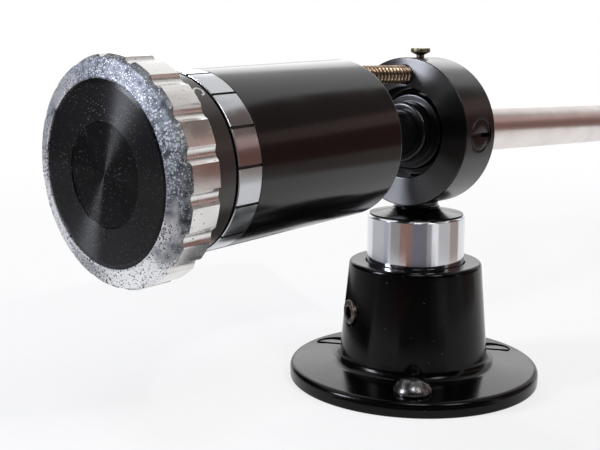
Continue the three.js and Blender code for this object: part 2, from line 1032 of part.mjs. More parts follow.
function pivotCupSeat() {
  const { radius, length, inset, mouthRadius, bottomRadius, coneDepth } = pivotCup;
  const mouth = pivotBlock.radius - inset;
  const bottom = mouth - length + gap.seat;
  return turned(
    [
      [0, bottom],
      [radius, bottom],
      [radius, mouth],
      [mouthRadius, mouth],
      [bottomRadius, mouth - coneDepth],
      [0, mouth - coneDepth],
    ],
    sides.small,
  );
}

function rearTube() {
  const { radius, end, seatDepth, chamfer } = rearSleeve;
  const front = pivotBlock.collarEnd - seatDepth + gap.seat;
  return toRear(rod(radius, front, end, chamfer, sides.small));
}

function dampingBush() {
  const { radius, length, rounding } = rubberBush;
  const front = rearSleeve.end + gap.seat;
  return toRear(rod(radius, front, front + length, rounding, sides.medium));
}

// The tube's centre line: straight, a bend to the left, a short link, and a longer bend back
function tubePath() {
  const { straightLength, firstBendRadius, firstBendAngle, linkLength } = armTube;
  const { secondBendRadius, offsetAngle, endLength } = armTube;
  const path = new THREE.CurvePath();
  const place = new THREE.Vector2(pivotBlock.frontEnd - pivotBlock.socketDepth + gap.seat, 0);
  let heading = 0;
  const forward = (length) => new THREE.Vector2(Math.cos(heading), Math.sin(heading)).multiplyScalar(length);
  const straight = (length) => {
    const end = place.clone().add(forward(length));
    path.add(new THREE.LineCurve3(new THREE.Vector3(place.x, place.y), new THREE.Vector3(end.x, end.y)));
    place.copy(end);
  };
  const bend = (radius, angle) => {
    const side = Math.sign(angle);
    const centre = place.clone().add(forward(radius).rotateAround(new THREE.Vector2(), side * quarterTurn));
    const from = heading - side * quarterTurn;
    path.add(new BendCurve(centre, radius, from, from + angle));
    heading += angle;
    place.set(centre.x + radius * Math.cos(from + angle), centre.y + radius * Math.sin(from + angle));
  };
  straight(straightLength);
  bend(firstBendRadius, firstBendAngle);
  straight(linkLength);
  bend(secondBendRadius, -firstBendAngle - offsetAngle);
  straight(endLength);
  return { path, end: place, heading };
}

class BendCurve extends THREE.Curve {
  constructor(centre, radius, from, to) {
    super();
    Object.assign(this, { centre, radius, from, to });
  }

  getPoint(share, target = new THREE.Vector3()) {
    const angle = this.from + (this.to - this.from) * share;
    const x = this.centre.x + this.radius * Math.cos(angle);
    const y = this.centre.y + this.radius * Math.sin(angle);
    return target.set(x, y, 0);
  }
}

function circlePoints(radius, sideCount) {
  return Array.from({ length: sideCount }, (_, i) => {
    const [x, y] = onCircle(radius, (i * fullTurn) / sideCount);
    return new THREE.Vector2(x, y);
  });
}

const tube = tubePath();

function bentTube() {
  const { radius, wall, outerSides, boreSides, steps } = armTube;
  const shape = new THREE.Shape(circlePoints(radius, outerSides));
  const bore = (radius - wall) / Math.cos(Math.PI / boreSides);
  shape.holes.push(new THREE.Path(circlePoints(bore, boreSides)));
  return new THREE.ExtrudeGeometry(shape, { steps, extrudePath: tube.path });
}

add(armGroup, "pivot_block", armPivotBlock(), blackSatin());
add(armGroup, "left_pivot_cup", toLeft(pivotCupSeat()), steel());
add(armGroup, "right_pivot_cup", toRight(pivotCupSeat()), steel());
add(armGroup, "rear_sleeve", rearTube(), blackSatin());
add(armGroup, "damping_bush", dampingBush(), rubber());
add(armGroup, "arm_tube", bentTube(), aluminium());

// Headshell end. Its own origin is the face that the headshell closes on, +X along the offset.
const endGroup = addGroup(armGroup, [
  tube.end.x + Math.cos(tube.heading) * (shellSocket.length - shellSocket.tubeDepth),
  tube.end.y + Math.sin(tube.heading) * (shellSocket.length - shellSocket.tubeDepth),
  0,
]);
endGroup.rotation.z = tube.heading;

function headshellSocket() {
  const { radius, length, tubeDepth, plugBoreDepth, pinSlotWidth, pinSlotLength, chamfer } = shellSocket;
  const plugBore = shellPlug.radius + gap.slide;
  const tubeBore = armTube.radius + gap.press;
  const wireBore = contactBlock.pinCircleRadius + contactBlock.pinRadius + gap.slide;
  const body = toFront(
    turned([
      [tubeBore, -length],
      [radius - chamfer, -length],
      [radius, chamfer - length],
      [radius, 0],
      [plugBore, 0],
      [plugBore, -plugBoreDepth],
      [wireBore, -plugBoreDepth],
      [wireBore, tubeDepth + gap.seat - length],
      [tubeBore, tubeDepth + gap.seat - length],
    ], sides.medium),
  );
  const slotLength = pinSlotLength + gap.cut;
  const middle = gap.cut - slotLength / 2;
  const slot = block(slotLength, pinSlotWidth, radius, [middle, 0, plugBore / 2 + radius / 2]);
  return cut(body, slot);
}

function fourAround(make) {
  const { pinCount, pinCircleRadius } = contactBlock;
  return Array.from({ length: pinCount }, (_, i) => {
    const [y, z] = onCircle(pinCircleRadius, (i * fullTurn) / pinCount + quarterTurn / 2);
    return make().translate(0, y, z);
  });
}

function springContacts() {
  const { thickness, pinRadius } = contactBlock;
  const rear = gap.seat - shellSocket.plugBoreDepth;
  const plugEnd = -shellPlug.length - gap.slide;
  const disc = toFront(rod(shellPlug.radius, rear, rear + thickness, 0, sides.small));
  const pins = fourAround(() => toFront(rod(pinRadius, rear, plugEnd, 0, sides.tiny)));
  return join(disc, ...pins);
}

function bayonetRing() {
  const { radius, length, faceInset, chamfer, ribCount, ribDepth, ribWidth, ribInset } = lockingRing;
  const rear = -faceInset - length;
  const inner = shellSocket.radius + gap.slide;
  const ring = toFront(pipe(inner, radius, rear, -faceInset, chamfer, sides.large));
  const ribs = Array.from({ length: ribCount }, (_, i) => {
    const height = ribDepth + gap.cut;
    const place = [rear + length / 2, 0, radius - ribDepth + height / 2];
    const cutter = block(length - 2 * ribInset, ribWidth, height, place);
    return cutter.rotateX((i * fullTurn) / ribCount);
  });
  return cut(ring, ...ribs);
}

add(endGroup, "headshell_socket", headshellSocket(), chrome());
add(endGroup, "spring_contacts", springContacts(), plastic());
const lockingGroup = addGroup(endGroup);
add(lockingGroup, "headshell_locking_ring", bayonetRing(), chrome());

// Headshell, which plugs into the socket
const shellGroup = addGroup(endGroup);
const shellRear = gasket.thickness + 2 * gap.seat;

function headshellPlug() {
  const { radius, length, chamfer, seatInShell, pinRadius, pinPlace, pinSeat } = shellPlug;
  const body = toFront(rod(radius, -length, shellRear + seatInShell, chamfer, sides.small));
  const hole = rod(pinRadius + gap.press, radius - pinSeat, radius + gap.cut, 0, sides.tiny);
  return cut(body, hole.translate(-pinPlace, 0, 0));
}

function locatingPin() {
  const { radius, pinRadius, pinProud, pinPlace, pinSeat } = shellPlug;
  const pin = rod(pinRadius, radius - pinSeat + gap.seat, radius + pinProud, 0, sides.tiny);
  return pin.translate(-pinPlace, 0, 0);
}

function sealingWasher() {
  const inner = shellPlug.radius + gap.press;
  return toFront(pipe(inner, gasket.radius, gap.seat, gap.seat + gasket.thickness));
}

function shellOutline() {
  const { length, neckHalfWidth, neckLength, shoulder, halfWidth } = headshell;
  const { noseHalfWidth, noseLength, noseRounding } = headshell;
  const half = [
    [neckLength, neckHalfWidth],
    [shoulder, halfWidth],
    [length - noseLength, halfWidth],
    ...arc([length - noseRounding, noseHalfWidth - noseRounding], noseRounding, quarterTurn, 0),
  ];
  const other = half.map(([x, y]) => [x, -y]).reverse();
  return [[shellRear, neckHalfWidth], ...half, ...other, [shellRear, -neckHalfWidth]];
}

function slotShape(middle, across, length, width) {
  const radius = width / 2;
  const reach = length / 2 - radius;
  return new THREE.Path(
    [
      ...arc([middle + reach, across], radius, -quarterTurn, quarterTurn),
      ...arc([middle - reach, across], radius, quarterTurn, 3 * quarterTurn),
    ].map(([x, y]) => new THREE.Vector2(x, y)),
  );
}

function shellPlate() {
  const { length, thickness, underside, boltToFront, boltSpacing } = headshell;
  const { slotLength, slotWidth, windowStart, windowLength, windowHalfWidth } = headshell;
  const shape = new THREE.Shape(shellOutline().map(([x, y]) => new THREE.Vector2(x, y)));
  const bolts = length - boltToFront;
  shape.holes.push(slotShape(bolts, boltSpacing / 2, slotLength, slotWidth));
  shape.holes.push(slotShape(bolts, -boltSpacing / 2, slotLength, slotWidth));
  const window = windowStart + windowLength / 2;
  shape.holes.push(slotShape(window, 0, windowLength, 2 * windowHalfWidth));
  const plate = new THREE.ExtrudeGeometry(shape, { depth: thickness, bevelEnabled: false, curveSegments: arcSteps });
  plate.translate(0, 0, underside);
  const neck = toFront(rod(headshell.neckRadius, shellRear, headshell.neckLength, 0, sides.medium));
  const { radius, seatInShell } = shellPlug;
  const plugHole = toFront(rod(radius + gap.press, shellRear - gap.cut, shellRear + seatInShell + gap.seat));
  const terminalHole = toFront(
    rod(shellTerminals.blockRadius + gap.press, shellRear, headshell.neckLength + gap.cut),
  );
  return cut(join(plate, neck), plugHole, terminalHole);
}

function leadTerminals() {
  const { thickness, pinRadius, pinLength, blockRadius } = shellTerminals;
  const rear = shellRear + shellPlug.seatInShell + gap.seat;
  const disc = toFront(rod(blockRadius, rear, rear + thickness));
  const pins = fourAround(() => toFront(rod(pinRadius, rear, rear + thickness + pinLength, 0, sides.tiny)));
  return join(disc, ...pins);
}

// A flat strip that lies on the plate, reaches out on the left and curls up to a short tip
function liftStrip() {
  const { thickness, width, behindFront, tabLength, reach } = fingerLift;
  const { bendRadius, bendAngle, tipLength } = fingerLift;
  const floor = headshell.underside + headshell.thickness + gap.seat;
  const start = headshell.halfWidth - tabLength;
  const bend = headshell.halfWidth + reach;
  const centre = [bend, floor + thickness + bendRadius];
  const end = bendAngle - quarterTurn;
  const outer = arc(centre, bendRadius + thickness, -quarterTurn, end);
  const inner = arc(centre, bendRadius, end, -quarterTurn);
  const rise = ([y, z]) => [y + tipLength * Math.cos(bendAngle), z + tipLength * Math.sin(bendAngle)];
  const outline = [
    [start, floor],
    ...outer,
    rise(outer[outer.length - 1]),
    rise(inner[0]),
    ...inner,
    [start, floor + thickness],
  ];
  const shape = new THREE.Shape(outline.map(([y, z]) => new THREE.Vector2(y, z)));
  const strip = new THREE.ExtrudeGeometry(shape, { depth: width, bevelEnabled: false });
  strip.rotateX(quarterTurn);
  strip.rotateZ(quarterTurn);
  return strip.translate(headshell.length - behindFront, 0, 0);
}

add(shellGroup, "headshell_plug", headshellPlug(), chrome());
add(shellGroup, "locating_pin", locatingPin(), steel());
add(shellGroup, "headshell_gasket", sealingWasher(), rubber());
add(shellGroup, "headshell", shellPlate(), blackAnodised());
add(shellGroup, "lead_terminals", leadTerminals(), plastic());
add(shellGroup, "finger_lift", liftStrip(), chrome());

// Counterweight. The group's origin is the middle of the rubber bush, and places are counted from
// the pivots, so each is moved forward by the bush's own place.
const bushPlace = rearSleeve.end + gap.seat + rubberBush.length / 2;
const rearGroup = addGroup(armGroup, [-bushPlace, 0, 0]);
rearGroup.rotation.y = -shaftSag;
const shaftAxisGroup = addGroup(rearGroup, [bushPlace, 0, 0]);

function shaft() {
  const tiltRoom = rearShaft.radius * Math.tan(Math.abs(shaftSag));
  const front = bushPlace + rubberBush.length / 2 + tiltRoom + gap.seat;
  return toRear(rod(rearShaft.radius, front, rearShaft.end, rearShaft.chamfer, sides.small));
}

add(shaftAxisGroup, "rear_shaft", shaft(), steel());

const weightGroup = addGroup(shaftAxisGroup);

function weightShell() {
  const { radius, front, rear, wall, frontWall, chamfer } = weightBody;
  const sleeveHole = gripSleeve.radius + gap.press;
  return toRear(
    turned(
      [
        [sleeveHole, front],
        [radius - chamfer, front],
        [radius, front + chamfer],
        [radius, rear],
        [radius - wall, rear],
        [radius - wall, front + frontWall],
        [sleeveHole, front + frontWall],
      ],
      sides.large,
    ),
  );
}

function frictionSleeve() {
  const { radius, length, flangeRadius, flangeThickness } = gripSleeve;
  const bore = rearShaft.radius + gap.slide;
  const flange = weightBody.front + weightBody.frontWall + gap.seat;
  const front = flange + flangeThickness - length;
  return toRear(
    turned([
      [bore, front],
      [radius, front],
      [radius, flange],
      [flangeRadius, flange],
      [flangeRadius, flange + flangeThickness],
      [bore, flange + flangeThickness],
    ], sides.small),
  );
}

const indexFront = weightBody.rear + gap.seat;
const indexRear = indexFront + indexRing.length;

function markedRing() {
  const { markCount, firstMark, markWidth, markDepth, chamfer } = indexRing;
  const { radius, wall } = weightBody;
  const ring = pipe(radius - wall, radius, indexFront, indexRear, chamfer, sides.large);
  const marks = Array.from({ length: markCount }, (_, i) => {
    const length = indexRing.length + 2 * gap.cut;
    const place = [radius - markDepth / 2 + gap.cut / 2, 0, (indexFront + indexRear) / 2];
    const mark = block(markDepth + gap.cut, markWidth, length, place);
    return mark.rotateZ(firstMark + (i * fullTurn) / markCount);
  });
  return toRear(cut(ring, ...marks));
}

add(weightGroup, "weight_body", weightShell(), blackSatin());
add(weightGroup, "friction_sleeve", frictionSleeve(), plastic());
add(weightGroup, "index_ring", markedRing(), chrome());

// Force dial: the fluted knob with its digit ring, inlay and lead screw turn together
const dialGroup = addGroup(weightGroup);
const digitFront = indexRear + digitRing.frontGap;
const knobFront = digitFront + digitRing.length + gap.seat;
const knobRear = knobFront + knob.length;
const spigotRadius = digitRing.radius - digitRing.wall - gap.press;
const journalRadius = weightBody.radius - weightBody.wall - gap.slide;

// Strokes of each digit, as shares of the digit's height and width, seen from outside the ring
const digitShares = [
  [[0.1, 0], [0.9, 0], [1, 0.15], [1, 0.85], [0.9, 1], [0.1, 1], [0, 0.85], [0, 0.15], [0.1, 0]],
  [[0.3, 0.75], [0.5, 1], [0.5, 0]],
  [[0, 0.8], [0.2, 1], [0.8, 1], [1, 0.8], [1, 0.6], [0, 0], [1, 0]],
];

// A digit stands with its top towards the front, so its height runs along the ring's axis
function digitCutters(strokes, angle) {
  const { radius, digitHeight, digitWidth, strokeWidth, strokeDepth, digitPlace } = digitRing;
  const foot = digitFront + digitPlace + digitHeight / 2;
  const points = strokes.map(([across, up]) => [(across - 0.5) * digitWidth, foot - up * digitHeight]);
  return points.slice(1).map(([x1, z1], i) => {
    const [x0, z0] = points[i];
    const length = Math.hypot(x1 - x0, z1 - z0) + strokeWidth;
    const stroke = block(strokeDepth + gap.cut, length, strokeWidth, [0, 0, 0]);
    stroke.rotateX(Math.atan2(z1 - z0, x1 - x0));
    stroke.translate(radius - strokeDepth / 2 + gap.cut / 2, (x0 + x1) / 2, (z0 + z1) / 2);
    return stroke.rotateZ(angle);
  });
}

function numberedRing() {
  const { radius, length, wall, firstDigit, digitSpacing } = digitRing;
  const ring = pipe(radius - wall, radius, digitFront, digitFront + length, 0, sides.large);
  const cutters = digitShares.flatMap((strokes, i) =>
    digitCutters(strokes, firstDigit + (i + 1) * digitSpacing));
  return toRear(cut(ring, ...cutters));
}

function flutedKnob() {
  const { radius, rimRadius, rimDrop, bevelDrop, lipRadius, recessRadius, recessDepth } = knob;
  const { frontChamfer, spigotWall, spigotReach, hubRadius, cavityDepth } = knob;
  const rim = knobRear - bevelDrop;
  const hollow = Math.min(spigotRadius, journalRadius) - spigotWall;
  const body = turned(
    [
      [0, knobFront],
      [hubRadius, knobFront],
      [hubRadius, knobFront + cavityDepth],
      [hollow, knobFront + cavityDepth],
      [hollow, indexRear - spigotReach],
      [journalRadius, indexRear - spigotReach],
      [journalRadius, digitFront],
      [spigotRadius, digitFront],
      [spigotRadius, knobFront],
      [radius - frontChamfer, knobFront],
      [radius, knobFront + frontChamfer],
      [radius, rim - rimDrop],
      [rimRadius, rim],
      [lipRadius, knobRear],
      [recessRadius, knobRear],
      [recessRadius, knobRear - recessDepth],
      [0, knobRear - recessDepth],
    ],
    sides.flute * knob.fluteCount,
  );
  const cutters = Array.from({ length: knob.fluteCount }, (_, i) => {
    const place = onCircle(radius - knob.fluteDepth + knob.fluteRadius, 0);
    const flute = rod(knob.fluteRadius, knobFront - gap.cut, knobRear + gap.cut, 0, sides.tiny);
    return flute.translate(...place).rotateZ(knob.firstFlute + (i * fullTurn) / knob.fluteCount);
  });
  const screwHole = rod(
    leadScrew.radius + gap.press,
    knobFront - gap.cut,
    knobFront + leadScrew.seatDepth + gap.seat,
  );
  return toRear(cut(body, ...cutters, screwHole));
}

function knobInlay() {
  const { thickness, dishRadius, dishDepth, edgeDrop } = inlay;
  const bottom = knobRear - knob.recessDepth + gap.seat;
  const top = bottom + thickness;
  const radius = knob.recessRadius - gap.press;
  return toRear(
    turned(
      [
        [0, bottom],
        [radius, bottom],
        [radius, top - edgeDrop],
        [dishRadius, top],
        [dishRadius, top - dishDepth],
        [0, top - dishDepth],
      ],
      sides.large,
    ),
  );
}

function knobScrew() {
  const { radius, frontEnd, seatDepth, chamfer } = leadScrew;
  return toRear(rod(radius, frontEnd, knobFront + seatDepth, chamfer, sides.small));
}

add(dialGroup, "fluted_knob", flutedKnob(), chrome());
add(dialGroup, "digit_ring", numberedRing(), blackSatin());
add(dialGroup, "knob_inlay", knobInlay(), blackAnodised());
add(dialGroup, "lead_screw", knobScrew(), steel());

// Sliding weight, which the lead screw draws along inside the body, with a rim that runs on its wall
const slidingGroup = addGroup(weightGroup);

function innerWeight() {
  const { radius, rimLength, waistRadius, front, length, chamfer } = slidingWeight;
  const { shaftClearance, shaftBoreDepth } = slidingWeight;
  const shaftBore = rearShaft.radius + shaftClearance;
  const nutBore = leadScrew.radius + gap.slide;
  const rear = front + length;
  return toRear(
    turned([
      [shaftBore, front],
      [radius - chamfer, front],
      [radius, front + chamfer],
      [radius, front + rimLength],
      [waistRadius, front + rimLength],
      [waistRadius, rear - chamfer],
      [waistRadius - chamfer, rear],
      [nutBore, rear],
      [nutBore, front + shaftBoreDepth],
      [shaftBore, front + shaftBoreDepth],
    ], sides.medium),
  );
}

add(slidingGroup, "sliding_weight", innerWeight(), brass());

export default root;
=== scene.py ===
# %% [markdown]
# # A record player's tonearm
# The arm tips and turns on a black gimbal ring. A chrome pillar carries the ring, a flanged black
# base holds the pillar, and a heavy weight with a fluted dial balances the S-shaped tube.
# The CAD model gives every place and joint. This script remakes its faceted pieces with smooth
# turned surfaces and real edges, gives each one its finish, and lights them as a studio would.

# %% Load the frame
import json
from math import atan2, cos, degrees, hypot, pi, radians, sin, sqrt

import bmesh
import bpy
from mathutils import Matrix, Vector


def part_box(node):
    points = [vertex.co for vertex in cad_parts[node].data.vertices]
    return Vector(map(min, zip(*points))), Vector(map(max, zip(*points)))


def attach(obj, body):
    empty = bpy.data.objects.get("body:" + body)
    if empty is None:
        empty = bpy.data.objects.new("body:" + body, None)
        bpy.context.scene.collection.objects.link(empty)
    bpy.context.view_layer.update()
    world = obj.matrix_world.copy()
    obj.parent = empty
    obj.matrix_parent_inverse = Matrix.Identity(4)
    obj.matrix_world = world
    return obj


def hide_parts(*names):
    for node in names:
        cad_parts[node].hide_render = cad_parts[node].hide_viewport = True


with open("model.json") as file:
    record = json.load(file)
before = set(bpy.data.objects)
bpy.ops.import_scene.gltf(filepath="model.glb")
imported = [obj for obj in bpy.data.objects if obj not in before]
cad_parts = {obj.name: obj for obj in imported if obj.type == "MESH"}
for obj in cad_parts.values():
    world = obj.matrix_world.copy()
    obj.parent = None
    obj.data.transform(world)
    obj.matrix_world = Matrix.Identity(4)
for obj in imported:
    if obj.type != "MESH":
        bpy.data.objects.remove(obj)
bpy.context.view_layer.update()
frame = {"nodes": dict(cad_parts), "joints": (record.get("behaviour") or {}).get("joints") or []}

MM = 0.001
nodes = frame["nodes"]
joints = {joint["name"]: joint for joint in frame["joints"]}
print("CAD nodes:", len(nodes), "joints:", len(joints))

# %% [markdown]
# ## The camera
# The photograph was taken from behind the weight, a little above the arm, with a short telephoto
# lens. The place, aim and lens were worked out from the ellipses of the flange, ring and knob.
# The camera comes first, so that every later choice can be judged through it.

# %% Camera
CAMERA_PLACE = (-162.0, -113.33, 67.15)
CAMERA_AIM = (0.73229, 0.65784, -0.17604)
CAMERA_UP = (0.12794, 0.12100, 0.98437)
LENS = 57.88
SENSOR_WIDTH = 36
NEAREST = 0.005


def put(name, data):
    """Puts a new object in the scene."""
    made = bpy.data.objects.new(name, data)
    bpy.context.scene.collection.objects.link(made)
    return made


aim = Vector(CAMERA_AIM).normalized()
side = aim.cross(Vector(CAMERA_UP)).normalized()
camera = put("camera", bpy.data.cameras.new("camera"))
camera.data.lens = LENS
camera.data.sensor_width = SENSOR_WIDTH
camera.data.clip_start = NEAREST
camera.matrix_world = Matrix((side, side.cross(aim), -aim)).transposed().to_4x4()
camera.location = Vector(CAMERA_PLACE) * MM
bpy.context.scene.camera = camera
print("camera at", [round(v, 4) for v in camera.location])

# %% [markdown]
# ## Placements
# Nearly every piece of a tonearm is turned on a lathe, so each is drawn about its own axis and then
# placed. A placement is a matrix whose Z runs along that axis and whose X points up. The axes come
# from the model's joints, so a piece can't drift away from what carries it.

# %% Placements
def placement(origin, axis, up=(0, 0, 1)):
    z = Vector(axis).normalized()
    y = z.cross(Vector(up)).normalized()
    matrix = Matrix((y.cross(z), y, z)).transposed().to_4x4()
    matrix.translation = Vector(origin)
    return matrix


def shift(x, y, z):
    """A move, in millimetres."""
    return Matrix.Translation(Vector((x, y, z)) * MM)


def turn_about(angle, axis="Z"):
    """A turn, in degrees."""
    return Matrix.Rotation(radians(angle), 4, axis)


pivot = Vector(joints["arm_lift"]["pos_m"])
shell_axis = Vector(joints["headshell_slide"]["axis"])
rear_axis = Vector(joints["weight_slide"]["axis"])
offset_angle = atan2(-shell_axis.y, shell_axis.x)
arm_axis = Vector((shell_axis.x / cos(offset_angle), 0, shell_axis.z / cos(offset_angle))).normalized()
dial_place = Vector(joints["dial_turn"]["pos_m"])
behind = (dial_place - pivot).dot(rear_axis)

upright = placement((0, 0, 0), (0, 0, 1), (1, 0, 0))
top_frame = Matrix.Translation(pivot)
ring_frame = placement(pivot, (1, 0, 0))
arm_frame = placement(pivot, arm_axis)
rear_frame = placement(dial_place - rear_axis * behind, rear_axis)
left_frame = placement(pivot, (0, 1, 0))
right_frame = placement(pivot, (0, -1, 0))
print("arm dips", round(degrees(-arm_axis.z), 2), "degrees, weight droops", round(degrees(-rear_axis.z), 2))


def along(frame_matrix, node):
    """The lowest and highest place of a node along a placement's axis, in millimetres."""
    inverse = frame_matrix.inverted()
    heights = [(inverse @ v.co).z / MM for v in nodes[node].data.vertices]
    return min(heights), max(heights)


def reach(frame_matrix, node):
    """A node's largest radius about a placement's axis, in millimetres."""
    inverse = frame_matrix.inverted()
    return max(hypot(*(inverse @ v.co).xy) / MM for v in nodes[node].data.vertices)


# %% [markdown]
# ## Turning on a lathe
# A turned piece is an outline of radius and height that goes once round its axis. No machined
# edge is perfectly sharp, so each corner of the outline gets a small arc, which is what catches
# the light. Where a piece has flutes or knurls, a function changes the radius with the angle,
# which keeps the mesh even. Booleans would leave ragged triangles that shade badly.

# %% Outlines
STRAIGHT_ENOUGH = radians(8)


def soften(outline, radius=0.12, pieces=3):
    """Rounds each corner of an outline. A point may give its own radius as a third value."""
    count = len(outline)
    closed = outline[0][0] > 0 or outline[-1][0] > 0
    result = []
    for i, point in enumerate(outline):
        here = Vector(point[:2])
        if not closed and i in (0, count - 1):
            result.append(tuple(here))
            continue
        to_last = Vector(outline[i - 1][:2]) - here
        to_next = Vector(outline[(i + 1) % count][:2]) - here
        wanted = point[2] if len(point) > 2 else radius
        turn = pi - to_last.angle(to_next)
        if turn < STRAIGHT_ENOUGH or wanted == 0:
            result.append(tuple(here))
            continue
        cut_back = wanted * sin(turn / 2) / cos(turn / 2)
        cut_back = min(cut_back, to_last.length * 0.45, to_next.length * 0.45)
        start = here + to_last.normalized() * cut_back
        end = here + to_next.normalized() * cut_back
        for k in range(pieces + 1):
            t = k / pieces
            result.append(tuple((1 - t) ** 2 * start + 2 * t * (1 - t) * here + t ** 2 * end))
    return result


# %% Turned meshes
SHARP = 38


def build(name, verts, faces, unit=MM):
    """A mesh from its faces and its points, which are in millimetres unless a unit says otherwise."""
    mesh = bpy.data.meshes.new(name)
    mesh.from_pydata([(x * unit, y * unit, z * unit) for x, y, z in verts], [], faces)
    return mesh


def shade(mesh, sharp=SHARP):
    """Shades a mesh smooth, except across edges sharper than an angle in degrees."""
    mesh.shade_smooth()
    mesh.set_sharp_from_angle(angle=radians(sharp))
    return mesh


def finish_mesh(mesh, sharp=SHARP):
    """Turns all faces out, and shades the mesh."""
    shaped = bmesh.new()
    shaped.from_mesh(mesh)
    bmesh.ops.remove_doubles(shaped, verts=shaped.verts, dist=1e-7)
    bmesh.ops.recalc_face_normals(shaped, faces=shaped.faces)
    shaped.to_mesh(mesh)
    shaped.free()
    return shade(mesh, sharp)


def turned(name, outline, steps=144, shape=None, angles=None, sharp=SHARP, materials=(), pick=None):
    """A mesh about Z. shape(radius, height, angle) gives a new radius, pick(radius, height) a finish."""
    angles = angles or [2 * pi * i / steps for i in range(steps)]
    closed = outline[0][0] > 0 or outline[-1][0] > 0
    verts, rings = [], []
    for radius, height in outline:
        if radius < 1e-6:
            rings.append([len(verts)] * len(angles))
            verts.append((0, 0, height))
            continue
        rings.append(list(range(len(verts), len(verts) + len(angles))))
        for angle in angles:
            r = shape(radius, height, angle) if shape else radius
            verts.append((r * cos(angle), r * sin(angle), height))
    faces, finishes = [], []
    pairs = list(zip(rings, rings[1:] + rings[:1]))
    ends = list(zip(outline, outline[1:] + outline[:1]))
    for k, (low, high) in enumerate(pairs if closed else pairs[:-1]):
        middle = [(a + b) / 2 for a, b in zip(*ends[k])]
        for i in range(len(angles)):
            j = (i + 1) % len(angles)
            face = list(dict.fromkeys((low[i], low[j], high[j], high[i])))
            if len(face) > 2:
                faces.append(face)
                finishes.append(pick(*middle) if pick else 0)
    mesh = build(name, verts, faces)
    for material in materials:
        mesh.materials.append(material)
    mesh.polygons.foreach_set("material_index", finishes)
    return finish_mesh(mesh, sharp)


def add_piece(name, mesh, place, body, finish=None, node=None):
    """Puts a piece in the scene, and says which body carries it and which node it stands for."""
    piece = put(name, mesh)
    if finish:
        mesh.materials.append(finish)
    piece.matrix_world = place
    piece.modifiers.new("even shading", "WEIGHTED_NORMAL").keep_sharp = True
    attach(piece, body)
    if node:
        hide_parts(node)
    print(name, "faces:", len(mesh.polygons))


# %% [markdown]
# ## Other ways to a solid
# Slots, notches and key holes are real cuts, so they are made with Blender's Boolean modifier and
# applied at once. A plate is an outline pushed up, with a small bevel. A tube that bends is a round
# section carried along a curve.

# %% Cuts
BEVEL_FROM = radians(40)


def cutter(mesh, place=None):
    tool = put("cutter", mesh)
    tool.matrix_world = place or Matrix.Identity(4)
    return tool


def carve(mesh, tools, edge=0.06):
    """Cuts the tools out of a mesh and then breaks its sharp edges with a small bevel."""
    body = put("carved", mesh)
    for tool in tools:
        cut = body.modifiers.new("cut", "BOOLEAN")
        cut.operation = "DIFFERENCE"
        cut.solver = "EXACT"
        cut.object = tool
    if edge:
        break_edges = body.modifiers.new("break edges", "BEVEL")
        break_edges.width = edge * MM
        break_edges.segments = 2
        break_edges.limit_method = "ANGLE"
        break_edges.angle_limit = BEVEL_FROM
        break_edges.harden_normals = False
    bpy.context.view_layer.update()
    graph = bpy.context.evaluated_depsgraph_get()
    carved = bpy.data.meshes.new_from_object(body.evaluated_get(graph))
    carved.name = mesh.name
    for used in (body, *tools):
        bpy.data.objects.remove(used)
    return shade(carved)


def drill(radius, low, high, place=None, steps=48):
    """A tool for a round hole. Six steps make it a key's hole."""
    return cutter(turned("hole", [(0, low), (radius, low), (radius, high), (0, high)], steps), place)


def saw(size, centre, angle=0):
    """A tool for a slot: a block with its sides and its centre in millimetres."""
    shaped = bmesh.new()
    bmesh.ops.create_cube(shaped, size=1)
    bmesh.ops.scale(shaped, vec=Vector(size) * MM, verts=shaped.verts)
    bmesh.ops.translate(shaped, vec=Vector(centre) * MM, verts=shaped.verts)
    mesh = bpy.data.meshes.new("slot")
    shaped.to_mesh(mesh)
    shaped.free()
    return cutter(mesh, turn_about(angle))


# %% Lathe work and plates
def lathe(name, outline, steps, place, body, finish, node=None,
          edge=0.12, pieces=3, cuts=(), bevel=0.06):
    """A whole turned piece: its corners rounded, its cuts made, and set on its body."""
    mesh = turned(name, soften(outline, edge, pieces), steps)
    if cuts:
        mesh = carve(mesh, cuts, bevel)
    add_piece(name, mesh, place, body, finish, node)


def plate(name, outline, low, high):
    """A flat plate: an outline in X and Y, pushed from low to high."""
    count = len(outline)
    verts = [(x, y, height) for height in (low, high) for x, y in outline]
    faces = [list(range(count))[::-1], list(range(count, 2 * count))]
    for i in range(count):
        j = (i + 1) % count
        faces.append([i, j, j + count, i + count])
    return finish_mesh(build(name, verts, faces))


def arc_points(centre, radius, start, end, pieces=8):
    """Points of an arc from one angle to another, in degrees."""
    steps = [radians(start + (end - start) * k / pieces) for k in range(pieces + 1)]
    return [(centre[0] + radius * cos(a), centre[1] + radius * sin(a)) for a in steps]


# %% [markdown]
# ## Colours and nodes
# Colours are written as they look on a screen, so one function turns them into the linear values
# that Blender works with. Another adds a node and gives back one of its outputs. What is given for
# a socket fills it or is linked to it, stops fill a colour ramp, and the rest sets properties.

# %% Colours and nodes
def linear(colour):
    """The linear values of a colour in hex, or of a plain value."""
    if not isinstance(colour, str):
        return colour, colour, colour, 1
    channels = [int(colour[i:i + 2], 16) / 255 for i in (1, 3, 5)]
    return [c / 12.92 if c <= 0.04045 else ((c + 0.055) / 1.055) ** 2.4 for c in channels] + [1]


def add_node(tree, kind, inputs, output=0, stops=(), **settings):
    made = tree.nodes.new("ShaderNode" + kind)
    for key, value in settings.items():
        setattr(made, key, value)
    for key, value in inputs.items():
        if isinstance(value, bpy.types.NodeSocket):
            tree.links.new(value, made.inputs[key])
        else:
            made.inputs[key].default_value = linear(value) if isinstance(value, str) else value
    for i, (position, value) in enumerate(stops):
        made.color_ramp.elements[i].position = position
        made.color_ramp.elements[i].color = linear(value)
    return made.outputs[output]


